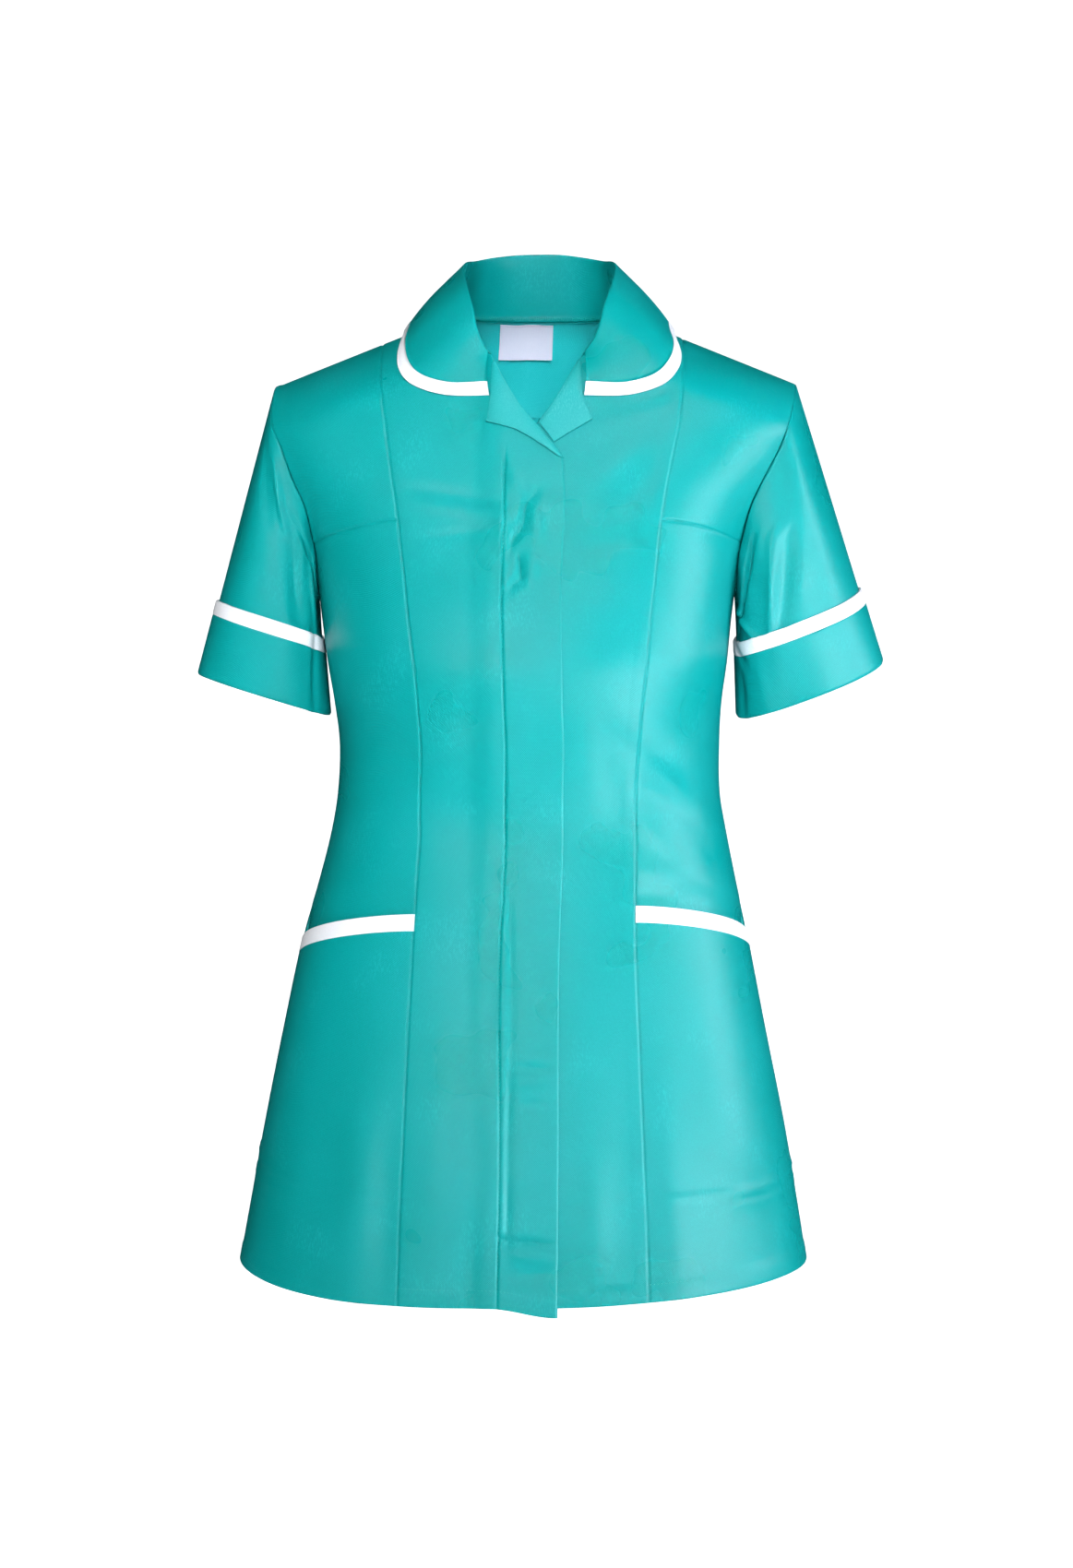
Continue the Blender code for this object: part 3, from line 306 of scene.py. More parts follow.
# Columns: the soft folds of the cloth, each a ridge (rise over 0) or a trough along a straight
# line: sideways place and drop of its middle, turn from upright (radians), half length, half
# width, rise
FOLDS = {
    FRONT: (
        # the large ones
        (0.098, 0.350, 0.72, 0.055, 0.0090, -0.0022),
        (0.110, 0.328, 0.85, 0.050, 0.0100, 0.0018),
        (-0.110, 0.333, -1.25, 0.045, 0.0090, -0.0016),
        (0.062, 0.590, 0.06, 0.130, 0.0220, -0.0025),
        (-0.068, 0.600, -0.05, 0.120, 0.0220, 0.0020),
        (0.135, 0.585, 0.16, 0.110, 0.0200, 0.0026),
        (-0.150, 0.580, -0.15, 0.110, 0.0200, -0.0022),
        # beside the placket on the chest, where the cloth buckles between its fastenings
        (-0.0040, 0.1330, -0.55, 0.0090, 0.0030, -0.0019),
        (-0.0105, 0.1460, -0.22, 0.0110, 0.0028, -0.0029),
        (-0.0160, 0.1600, -0.70, 0.0100, 0.0028, -0.0032),
        (-0.0205, 0.1700, -0.15, 0.0080, 0.0024, -0.0019),
        (-0.0025, 0.1500, 0.10, 0.0170, 0.0050, 0.0022),
        (-0.0135, 0.1830, 0.12, 0.0110, 0.0027, -0.0027),
        (-0.0180, 0.1950, -0.75, 0.0090, 0.0028, -0.0024),
        (-0.0060, 0.1830, 0.10, 0.0110, 0.0042, 0.0021),
        (-0.0270, 0.1540, 0.10, 0.0140, 0.0042, 0.0019),
        (-0.0170, 0.1240, 0.25, 0.0090, 0.0034, 0.0016),
        # along the placket's sewn edge
        (-0.0205, 0.4500, 0.02, 0.0700, 0.0030, -0.0014),
        (-0.0215, 0.5600, -0.02, 0.0600, 0.0032, -0.0018),
        (-0.0225, 0.6350, 0.00, 0.0300, 0.0034, -0.0019),
        (-0.0330, 0.4700, -0.03, 0.0600, 0.0055, -0.0010),
        (-0.0310, 0.5900, 0.04, 0.0450, 0.0060, 0.0010),
        # across the placket near its foot
        (-0.0040, 0.5325, 1.49, 0.0130, 0.0024, -0.0016),
        (-0.0060, 0.5430, 1.66, 0.0150, 0.0034, 0.0011),
        (-0.0050, 0.5570, 1.55, 0.0120, 0.0030, -0.0010),
        (-0.0080, 0.6540, 1.50, 0.0160, 0.0022, -0.0022),
        (-0.0265, 0.6515, 1.05, 0.0060, 0.0020, -0.0016),
        (-0.0070, 0.6640, 1.42, 0.0170, 0.0042, 0.0014),
        (-0.0060, 0.6760, 1.60, 0.0150, 0.0046, -0.0013),
        # shallow pulls across the chest and from the collar
        (-0.0560, 0.1330, 1.42, 0.0380, 0.0042, -0.0012),
        (-0.0560, 0.1420, 1.42, 0.0360, 0.0046, 0.0012),
        (-0.0480, 0.1590, 1.66, 0.0330, 0.0040, -0.0011),
        (-0.1080, 0.0530, 0.90, 0.0170, 0.0060, -0.0012),
        (0.0860, 0.0600, -1.10, 0.0240, 0.0065, -0.0012),
        (0.0640, 0.0760, -1.30, 0.0300, 0.0080, 0.0011),
        (0.0480, 0.1120, -0.80, 0.0330, 0.0100, 0.0012),
        (0.0700, 0.1250, -0.70, 0.0350, 0.0110, -0.0014),
        (0.0500, 0.1650, -1.35, 0.0300, 0.0070, -0.0008),
        # below the bust and round the waist
        (0.0920, 0.3330, 0.78, 0.0200, 0.0034, -0.0016),
        (0.0820, 0.3440, 0.95, 0.0200, 0.0060, -0.0016),
        (0.1010, 0.3290, 0.60, 0.0230, 0.0060, 0.0014),
        (0.1230, 0.3480, 0.60, 0.0300, 0.0070, -0.0018),
        (0.0880, 0.3750, 0.85, 0.0280, 0.0075, 0.0014),
        (-0.1270, 0.3060, -1.00, 0.0260, 0.0060, -0.0014),
        (-0.1010, 0.3150, -1.75, 0.0240, 0.0060, -0.0011),
        (-0.1180, 0.3550, -1.40, 0.0270, 0.0070, 0.0011),
        (0.0500, 0.3300, 0.15, 0.0500, 0.0120, -0.0011),
        (-0.0560, 0.3420, -0.10, 0.0460, 0.0130, -0.0009),
        # the skirt's soft flutes
        (-0.1300, 0.6150, -0.08, 0.0900, 0.0150, 0.0018),
        (-0.1080, 0.6350, -0.05, 0.0700, 0.0110, -0.0014),
        (0.0960, 0.6250, 0.10, 0.0800, 0.0130, 0.0016),
        (0.1640, 0.6450, 0.24, 0.0500, 0.0110, -0.0015),
        (0.0370, 0.6400, 0.03, 0.0500, 0.0110, 0.0012),
        (-0.0480, 0.6700, -0.03, 0.0400, 0.0090, -0.0012),
    ),
    BACK: (
        # the large ones
        (-0.060, 0.345, 0.95, 0.050, 0.0110, -0.0024),
        (0.070, 0.352, -0.80, 0.055, 0.0120, -0.0020),
        (0.010, 0.372, 1.45, 0.060, 0.0130, 0.0022),
        (-0.075, 0.590, -0.06, 0.120, 0.0230, 0.0030),
        (0.050, 0.600, 0.05, 0.115, 0.0230, -0.0028),
        (0.125, 0.580, 0.14, 0.110, 0.0200, 0.0024),
        # the smaller ones
        (-0.1200, 0.2900, 0.60, 0.0400, 0.0090, -0.0016),
        (-0.0900, 0.3150, 0.80, 0.0330, 0.0080, 0.0013),
        (0.1150, 0.2980, -0.70, 0.0380, 0.0090, -0.0015),
        (0.0850, 0.3250, -0.95, 0.0300, 0.0080, 0.0012),
        (-0.0300, 0.3300, 1.30, 0.0320, 0.0065, -0.0011),
        (0.0350, 0.3420, -1.45, 0.0270, 0.0060, -0.0009),
        (-0.1400, 0.1700, -0.35, 0.0450, 0.0110, -0.0016),
        (0.1380, 0.1750, 0.40, 0.0420, 0.0100, -0.0014),
        (0.0900, 0.1300, -1.10, 0.0500, 0.0130, 0.0008),
        (-0.1300, 0.6350, -0.20, 0.0600, 0.0150, -0.0014),
        (-0.0150, 0.6300, 0.03, 0.0700, 0.0130, 0.0012),
        (0.0900, 0.6500, 0.09, 0.0500, 0.0110, -0.0010),
        (0.1650, 0.6200, 0.25, 0.0600, 0.0140, -0.0012),
    ),
}
FOLD_FADE = 1.4  # how fast a fold dies out towards its ends
SIDE_FADE = 2.5  # the higher, the nearer to the side seam the folds begin to die out


def read_table(table, place, column):
    """A smooth curve through one column of a table, read at places in its first column."""
    keys, values = table[:, 0], table[:, column]
    slopes = np.empty_like(values)
    slopes[1:-1] = (values[2:] - values[:-2]) / (keys[2:] - keys[:-2])
    slopes[0] = (values[1] - values[0]) / (keys[1] - keys[0])
    slopes[-1] = (values[-1] - values[-2]) / (keys[-1] - keys[-2])
    place = np.clip(place, keys[0], keys[-1])
    i = np.clip(np.searchsorted(keys, place, side="left") - 1, 0, len(keys) - 2)
    width = keys[i + 1] - keys[i]
    t = (place - keys[i]) / width
    return (
        (2 * t**3 - 3 * t**2 + 1) * values[i]
        + (t**3 - 2 * t**2 + t) * width * slopes[i]
        + (3 * t**2 - 2 * t**3) * values[i + 1]
        + (t**3 - t**2) * width * slopes[i + 1]
    )


def section(drop, name):
    """One of the measures of a level section."""
    return read_table(SECTIONS, drop, COLUMNS.index(name))


def smooth_step(low, high, value):
    """0 up to the low value and 1 from the high one on, smooth between."""
    t = np.clip((value - low) / (high - low), 0.0, 1.0)
    return t * t * (3 - 2 * t)


def full_depth(z, face):
    """How far the surface reaches at the centre, to the front or to the back."""
    return section(-z, "front" if face == FRONT else "back")


def place_at(angle, z):
    """The sideways place of an angle: 0 is the centre and 90 degrees the side."""
    return section(-z, "centre") + section(-z, "half_width") * np.sin(angle)


def angle_at(offset, z):
    """The angle of a point that stands this far sideways from the section's centre."""
    return np.arcsin(np.clip(offset / section(-z, "half_width"), -1.0, 1.0))


def roundness_share(across):
    """How much of the full depth a section keeps, at a share of the way out to its side."""
    return np.maximum(1 - np.abs(across) ** ROUNDNESS, 0.0) ** (1 / ROUNDNESS)


def crest(x):
    """Height of the shoulder line over a sideways place, and of the neck's dome inside it."""
    reach = np.abs(x)
    return np.where(
        reach > NECK_HALF_WIDTH,
        -SHOULDER_SLOPE * (reach - NECK_HALF_WIDTH),
        NECK_RISE * (1 - (reach / NECK_HALF_WIDTH) ** 2),
    )


def fold_rise(x, z, face):
    """How far the folds of one face lift the surface."""
    rise = np.zeros(np.broadcast(x, z).shape)
    for place, drop, turn, half_length, half_width, height in FOLDS[face]:
        along_x, along_z = math.sin(turn), -math.cos(turn)
        dx, dz = x - place, z + drop
        along = (dx * along_x + dz * along_z) / half_length
        across = (dx * along_z - dz * along_x) / half_width
        rise += height * np.exp(-(along**2) * FOLD_FADE - across**2)
    return rise


def body_point(angle, z, face):
    """Points of the body's surface, at an angle from the centre and a height."""
    x = place_at(angle, z)
    reach = roundness_share(np.sin(angle))
    lack = 1 - np.clip((crest(x) - z) / SHOULDER_ROUND, 0.0, 1.0)
    depth = full_depth(z, face) * reach * np.sqrt(1 - lack * lack)
    depth = depth + fold_rise(x, z, face) * np.minimum(reach * SIDE_FADE, 1.0) * (1 - lack)
    return np.stack((x, face * depth, z + 0 * x), axis=-1)


def grid_normals(grid, closed=False):
    """Outward normals of a grid of points round the tunic's own axis or a sleeve's."""
    down = np.gradient(grid, axis=0)
    if closed:
        across = np.roll(grid, -1, axis=1) - np.roll(grid, 1, axis=1)
        middle = grid.mean(axis=1, keepdims=True)
    else:
        across = np.gradient(grid, axis=1)
        middle = np.array((section(-grid[..., 2], "centre"), 0 * grid[..., 0], grid[..., 2]))
        middle = np.moveaxis(middle, 0, -1)
    normals = np.cross(across, down)
    length = np.linalg.norm(normals, axis=-1, keepdims=True)
    normals = normals / np.maximum(length, 1e-12)
    if np.sum(normals * (grid - middle)) < 0:
        normals = -normals
    return normals


def seam_angle(z, side):
    """The angle of a long front seam, between a centre front and its side fronts."""
    return angle_at(section(-z, "seam_" + side), z)


def neck_lean(reach):
    """The neck seam's front ends lean with the centre front, less and less up to the shoulder."""
    return -NECK_LEAN * (NECK_HALF_WIDTH - reach) / (NECK_HALF_WIDTH - NECK_SEAM[0, 0])


LEAN_ROUNDS = 5


def front_top(x, fold_line, neck_side):
    """Top edge of a centre front: rever fold, then neck seam, then shoulder."""
    reach = x * neck_side
    for _ in range(LEAN_ROUNDS):
        reach = (x - neck_lean(reach)) * neck_side
    on_fold = -np.interp(x, fold_line[:, 0], fold_line[:, 1])
    on_neck = -read_table(NECK_SEAM, reach, 1)
    top = np.where(reach >= NECK_SEAM[0, 0], on_neck, on_fold)
    return np.where(reach >= NECK_HALF_WIDTH, crest(x), top)


def hem_line(angle):
    """The front's hem, lower at the centre than at the side seams."""
    curve = np.where(angle > 0, HEM_CURVE["left"], HEM_CURVE["right"])
    return -HEM_SIDE - HEM_FRONT_EXTRA * (1 - np.abs(np.sin(angle)) ** curve)


def right_hem(x, angle):
    """The right front's hem, which falls a little more to the lap's corner."""
    return hem_line(angle) - LAP_CORNER_EXTRA * smooth_step(*LAP_CORNER, x)


def lap_lift(x, z):
    """The right front rises over the left one where they lap."""
    past_underlap = x - section(-z, "centre") - UNDERLAP_EDGE
    return LAP_LIFT * smooth_step(*LAP_CLIMB, past_underlap)


# Rows and columns of points stand this far apart, and closer together at these distances from
# an edge.
GRID_STEP = 0.0034
EDGE_PLACES = (0.0, 0.0005, 0.0011, 0.0019, 0.0030, 0.0046)


def spread(length, step=GRID_STEP):
    """Places from 0 to 1 across a piece, close together at both ends."""
    near = [place / length for place in EDGE_PLACES]
    count = max(int((length - 2 * EDGE_PLACES[-1]) / step), 1)
    middle = np.linspace(near[-1], 1 - near[-1], count + 1)[1:-1]
    return np.array(near + list(middle) + [1 - place for place in reversed(near)])


# Degrees round the shoulder from its seam, for the rows of a piece that begins there
SHOULDER_TURNS = (0, 3, 6, 10, 14, 19, 24, 30, 36, 42, 48, 54, 60, 66, 72, 78, 84, 90)
PAST_TURNS = 1.05  # the next rows lie beyond the last of these by this factor


def spread_down(length, turns=(), step=GRID_STEP):
    """The same down a piece, with rows close together over the shoulder's round."""
    places = spread(length, step)
    round_it = [SHOULDER_ROUND * (1 - math.cos(math.radians(turn))) / length for turn in turns]
    if round_it:
        places = places[places > round_it[-1] * PAST_TURNS]
        places = np.concatenate((round_it, places))
    return places


# Columns that follow a stitched line down a piece: the line's share of the way across, their
# distances from it, and the room that the other columns leave to them
FOLLOWED = 0.64
CLOSE_TO_LINE = (-0.0023, -0.0014, -0.0008, -0.0004, 0.0, 0.0004, 0.0008, 0.0014, 0.0023)
ROOM_BESIDE = 1.2
# Heights from which the search for a column's two ends sets out, and its rounds
FIRST_TOP, FIRST_BOTTOM = -0.1, -0.6
ROUNDS = 12


def panel_angles(inner, outer, top, bottom, across, down, follow=None):
    """Angles and heights of a cut piece's points: rows run down it and columns across. The
    columns near a line on the piece run along it."""

    def angle_across(z):
        """The angles of the columns at a height."""
        share = across + 0 * z
        if follow is not None:
            line = (follow(z) - inner(z)) / (outer(z) - inner(z))
            near = 1 - np.clip(np.abs(across - FOLLOWED) / (1 - FOLLOWED), 0.0, 1.0)
            share = across + (line - FOLLOWED) * near
        return inner(z) * (1 - share) + outer(z) * share

    ends = []
    for line, z in ((top, FIRST_TOP), (bottom, FIRST_BOTTOM)):
        z = np.full(len(across), z)
        for _ in range(ROUNDS):
            angle = angle_across(z)
            z = line(place_at(angle, z), angle)
        ends.append(z)
    z = ends[0] + (ends[1] - ends[0]) * down[:, None]
    return angle_across(z), z


def edge_distance(grid):
    """How far each point of a grid lies from its first and last row and column."""
    rows = np.linalg.norm(np.diff(grid, axis=0), axis=-1)
    columns = np.linalg.norm(np.diff(grid, axis=1), axis=-1)
    down = np.concatenate((np.zeros((1, grid.shape[1])), np.cumsum(rows, axis=0)))
    across = np.concatenate((np.zeros((grid.shape[0], 1)), np.cumsum(columns, axis=1)), axis=1)
    return {
        "top": down,
        "bottom": down[-1:] - down,
        "first": across,
        "last": across[:, -1:] - across,
    }


def shell(name, grid, normals, made_of, cloth=CLOTH, closed=False, behind=None):
    """A closed thin wall under a grid of points, with another material on its hidden face."""
    rows, columns = grid.shape[:2]
    under = grid - normals * cloth
    points = np.concatenate((grid.reshape(-1, 3), under.reshape(-1, 3)))
    index = np.arange(rows * columns).reshape(rows, columns)
    if closed:
        index = np.concatenate((index, index[:, :1]), axis=1)
    over = np.stack((index[:-1, :-1], index[:-1, 1:], index[1:, 1:], index[1:, :-1]), axis=-1)
    count = rows * columns
    faces = [over.reshape(-1, 4), over[..., ::-1].reshape(-1, 4) + count]
    rims = [index[0, ::-1], index[-1]]
    if not closed:
        rims += [index[:, 0], index[::-1, -1]]
    for rim in rims:
        faces.append(np.stack((rim[:-1], rim[:-1] + count, rim[1:] + count, rim[1:]), axis=-1))
    made = add_mesh(name, points, np.concatenate(faces), made_of)
    if behind is not None:
        made.data.materials.append(behind)
        slots = np.zeros(len(made.data.polygons), int)
        slots[len(faces[0]) : 2 * len(faces[0])] = 1
        made.data.polygons.foreach_set("material_index", slots)
    middle = grid.shape[0] // 2, grid.shape[1] // 2
    aside = grid[middle[0], middle[1] + 1] - grid[middle]
    below = grid[middle[0] + 1, middle[1]] - grid[middle]
    if np.dot(np.cross(aside, below), normals[middle]) < 0:
        made.data.flip_normals()
    return made


# Seamed edges turn in by this much, over this width. The allowances and the turned hem behind
# the cloth are so wide and show so much, and end in a step of this half width. Beside the hem's
# stitching the cloth sinks by a share of the hem's rise.
SEAM_DEPTH = 0.0008
SEAM_WIDTH = 0.0008
ALLOWANCE = 0.0095
ALLOWANCE_RISE = 0.00022
HEM_TURNING = 0.0125
HEM_RISE = 0.00045
STEP_HALF_WIDTH = 0.0009
HEM_GROOVE = 0.5


def seam_dips(grid, edges):
    """How far the cloth turns in at its seamed edges, and rolls over at its folded ones. Where
    an allowance or a turned hem lies behind, the cloth stands out by that layer. An edge is its
    name, how far it turns in (under 0 for a layer behind), and the width."""
    distance = edge_distance(grid)
    dip = np.zeros(grid.shape[:2])
    rise = np.zeros(grid.shape[:2])
    for edge, depth, width in edges:
        if depth < 0:
            step = width + STEP_HALF_WIDTH, width - STEP_HALF_WIDTH
            rise = np.maximum(rise, -depth * smooth_step(*step, distance[edge]))
            groove = np.exp(-(((distance[edge] - width) / STEP_HALF_WIDTH) ** 2))
            rise = rise - HEM_GROOVE * HEM_RISE * groove * (width == HEM_TURNING)
        else:
            dip = np.maximum(dip, depth * np.exp(-((distance[edge] / width) ** 2)))
    return dip - rise


TOP, BOTTOM, FIRST, LAST = (
    (edge, SEAM_DEPTH, SEAM_WIDTH) for edge in ("top", "bottom", "first", "last")
)
HEM_EDGES = (("bottom", 0.0005, 0.0006), ("bottom", -HEM_RISE, HEM_TURNING))


def cloth_material(name, colour, painted_glint, dark_tone_and_rib_shade, roughness, twill=480.0):
    """Fine diagonal twill with painted glints, patches and a fine speckle of lighter colour that
    stand in for highlights where the weave catches the light: its colour, that of the painted
    glints and the darker colour of its random tone, which along the ribs is painted shade in their
    hollows, its roughness, and the ribs' scale."""
    made, start, shader = new_material(name)
    place = start.node("TexCoord", None, None, 3)
    ribs = start.node(
        "TexWave",
        {"bands_direction": "DIAGONAL"},
        {"Vector": place, "Scale": twill, "Distortion": 0.6, "Detail Scale": 2.0},
        1,
    )
    grain = start.node("TexNoise", None, {"Vector": place, "Scale": 1400.0, "Detail": 1.0})
    cloud = start.node("TexNoise", None, {"Vector": place, "Scale": 14.0, "Detail": 2.0})
    slant = start.node(
        "Mapping",
        None,
        {"Vector": place, "Rotation": (0.0, 0.55, 0.0), "Scale": (1150.0, 600.0, 300.0)},
    )
    strokes = start.node("TexNoise", None, {"Vector": slant, "Scale": 1.0, "Detail": 1.0})
    patches = start.node("TexNoise", None, {"Vector": place, "Scale": 24.0, "Detail": 1.0})
    # painted glints: patches and a fine speckle of a lighter colour mixed into the base colour,
    # standing in for highlights on the weave
    painted_glint_mask = patches.above(0.50, 0.72) * strokes.above(0.48, 0.66)
    painted_glint_share = painted_glint_mask * 0.30 + grain.above(0.35, 0.8) * 0.16
    # the darker colour follows random cloudy patches and grain, and along the twill's ribs it is
    # painted shade in their hollows
    tone = (cloud * 0.55 + ribs * 0.18 + grain * 0.27).above(0.25, 0.75)
    base = tone.mixed(dark_tone_and_rib_shade, colour)
    feed(made.node_tree, shader, "Base Color", painted_glint_share.mixed(base, painted_glint))
    feed(made.node_tree, shader, "Roughness", roughness + (cloud - 0.5) * 0.12)
    ripple = start.node("TexNoise", None, {"Vector": place, "Scale": 70.0, "Detail": 2.0})
    height = ripple * 0.55 + ribs * 0.30 + grain * 0.15
    bump = start.node("Bump", None, {"Strength": 0.35, "Distance": 0.0009, "Height": height})
    feed(made.node_tree, shader, "Normal", bump)
    shader.inputs["Specular IOR Level"].default_value = 0.42
    shader.inputs["Anisotropic"].default_value = 0.6
    shader.inputs["Specular Tint"].default_value = (0.85, 0.90, 1.0, 1)
    return made


teal = cloth_material(
    "teal_twill",
    (0.000, 0.300, 0.300, 1),
    (0.016, 0.430, 0.458, 1),
    (0.000, 0.266, 0.250, 1),
    0.29,
)
# A lighter copy of the same twill for the cloth's hidden face, which shows inside the neck and
# back: painted light, standing in for lamp light that hardly reaches there.
teal_lit_inside = cloth_material(
    "teal_twill_lit_inside",
    (0.020, 0.560, 0.585, 1),
    (0.080, 0.680, 0.720, 1),
    (0.012, 0.500, 0.515, 1),
    0.60,
)
teal_facing = cloth_material(
    "teal_twill_facing",
    (0.008, 0.350, 0.350, 1),
    (0.080, 0.460, 0.480, 1),
    (0.002, 0.300, 0.292, 1),
    0.45,
)


def body_piece(
    name, face, lines, size, edges, slot="teal_cloth", made_of=teal, lift=None, turns=(),
    step=GRID_STEP, follow=None,
):
    """One cut piece of the body, from its first, last, top and bottom lines and its rough width
    and length, with its seams pressed in."""
    across = spread(size[0], step)
    if follow is not None:
        close = FOLLOWED + np.array(CLOSE_TO_LINE) / size[0]
        apart = np.abs(across - FOLLOWED) > CLOSE_TO_LINE[-1] / size[0] * ROOM_BESIDE
        across = np.sort(np.concatenate((across[apart], close)))
    down = spread_down(size[1], turns, step)
    angle, z = panel_angles(*lines, across, down, follow)
    grid = body_point(angle, z, face)
    if lift is not None:
        grid = grid + grid_normals(grid) * lift(grid[..., 0], z, angle)[..., None]
    flat = grid.copy()
    grid = grid - grid_normals(flat) * seam_dips(flat, edges)[..., None]
    # the hidden face gets the lighter copy of the twill, painted light for the inside of the neck
    behind = teal_lit_inside if slot == "teal_cloth" else None
    made = shell(name, grid, grid_normals(flat), made_of, behind=behind)
    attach(made, "root")
    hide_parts(name.replace("cloth_", ""))


# From the placket's stitching to the folded edge the right front is thicker by this much. The
# step begins between these drops and is this wide, and the stitches dent it.
PLACKET_RISE = 0.0005
PLACKET_TOP = (0.098, 0.112)
PLACKET_STEP = 0.0022
STITCH_DENT = 0.0007
DENT_WIDTH = 0.0008
# Columns: drop, and how far the placket's stitching runs from the centre
FLY_STITCHES = np.array(
    (
        (0.100, -0.0190),
        (0.117, -0.0187),
        (0.237, -0.0169),
        (0.367, -0.0163),
        (0.466, -0.0173),
        (0.588, -0.0173),
        (0.698, -0.0179),
    )
)


def past_stitches(x, z):
    """How far a point of the right front lies towards its fold from the placket's stitching."""
    return x - section(-z, "centre") - read_table(FLY_STITCHES, -z, 1)


def right_lift(x, z, angle):
    """How far the right front stands off the body's surface."""
    past = past_stitches(x, z)
    below = smooth_step(*PLACKET_TOP, -z)
    rise = PLACKET_RISE * smooth_step(0.0, PLACKET_STEP, past)
    dent = STITCH_DENT * np.exp(-((past / DENT_WIDTH) ** 2))
    return lap_lift(x, z) + (rise - dent) * below


FOLDED_EDGE = ("last", 0.0009, 0.0008)
LONG_SEAM_ALLOWANCE = ("last", -ALLOWANCE_RISE, ALLOWANCE)
body_piece(
    "cloth_front_right",
    FRONT,
    (
        lambda z: -seam_angle(z, "right"),
        lambda z: angle_at(LAP_EDGE - LAP_TOP_LESS * smooth_step(*LAP_TOP, z), z),
        lambda x, angle: front_top(x, FOLD_RIGHT, -1),
        right_hem,
    ),
    (0.115, 0.70),
    (TOP, FIRST, FOLDED_EDGE, *HEM_EDGES),
    lift=right_lift,
    turns=SHOULDER_TURNS,
    step=0.0022,
    follow=lambda z: angle_at(read_table(FLY_STITCHES, -z, 1), z),
)
body_piece(
    "cloth_front_left",
    FRONT,
    (
        lambda z: angle_at(UNDERLAP_EDGE, z),
        lambda z: seam_angle(z, "left"),
        lambda x, angle: front_top(x, FOLD_LEFT, 1),
        lambda x, angle: hem_line(angle),
    ),
    (0.115, 0.70),
    (TOP, LAST, LONG_SEAM_ALLOWANCE, *HEM_EDGES),
    turns=SHOULDER_TURNS,
    step=0.0024,
)

# ------------------------------------------------------------------ side fronts
# Of the same twill, seamed to the centre fronts and into the armholes and side seams: an upper
# one over each shoulder and, below the curved bust seam, a lower one that runs down behind the
# pocket and carries the pocket's bag.

ARMHOLE_TURN = 0.165
UNDERARM = 0.205
UNDERARM_STRAIGHT = 0.45  # share of a straight line in the armhole's curve to the underarm
BUST_SEAM_INNER = 0.1495
BUST_SEAM_FALL = 0.0155
BUST_SEAM_BEND = 1.7

# Columns: drop, and how far the armhole seam stands from the centre on each side
ARMHOLES = np.array(
    (
        (0.045, 0.1885, 0.1885),
        (0.052, 0.1885, 0.1880),
        (0.080, 0.1875, 0.1815),
        (0.100, 0.1785, 0.1745),
        (0.120, 0.1700, 0.1650),
        (0.140, 0.1605, 0.1565),
        (0.165, 0.1540, 0.1515),
    )
)


def armhole_angle(z, side):
    """The armhole seam's angle, down to the underarm where it meets the side seam."""
    drop = -np.asarray(z, float)
    at = np.minimum(drop, ARMHOLE_TURN)
    angle = angle_at(read_table(ARMHOLES, at, 1 if side == "right" else 2), -at)
    down = np.clip((drop - ARMHOLE_TURN) / (UNDERARM - ARMHOLE_TURN), 0.0, 1.0)
    curve = UNDERARM_STRAIGHT * down + (1 - UNDERARM_STRAIGHT) * (1 - np.sqrt(1 - down * down))
    return angle + (math.pi / 2 - angle) * curve


def bust_seam(x, side):
    """The curved seam from the long front seam out to the armhole."""
    inner = section(BUST_SEAM_INNER, "seam_" + side)
    outer = ARMHOLES[-1, 1 if side == "right" else 2]
    share = (np.abs(x - section(BUST_SEAM_INNER, "centre")) - inner) / (outer - inner)
    return -BUST_SEAM_INNER - BUST_SEAM_FALL * np.maximum(share, 0.0) ** BUST_SEAM_BEND


POCKET_MOUTH_INNER = {"right": 0.4265, "left": 0.4205}
POCKET_MOUTH_FALL = {"right": 0.0255, "left": 0.0275}
POCKET_MOUTH_BEND = 1.5
POCKET_BAG_BOTTOM = 0.622
TUCK = (-0.026, -0.006)  # the side front sinks from 26 to 6 mm over the pocket's mouth


def pocket_mouth(angle, side):
    """The curved opening of the pocket, lowest at the side seam."""
    top = -POCKET_MOUTH_INNER[side]
    inner = seam_angle(top, side)
    share = np.maximum((np.abs(angle) - inner) / (math.pi / 2 - inner), 0.0)
    return top - POCKET_MOUTH_FALL[side] * share**POCKET_MOUTH_BEND


def tuck_behind_pocket(angle, z, side):
    """The side front sinks behind the pocket's outer layer just above the pocket's mouth."""
    return -LAP_LIFT * smooth_step(*TUCK, pocket_mouth(angle, side) - z)


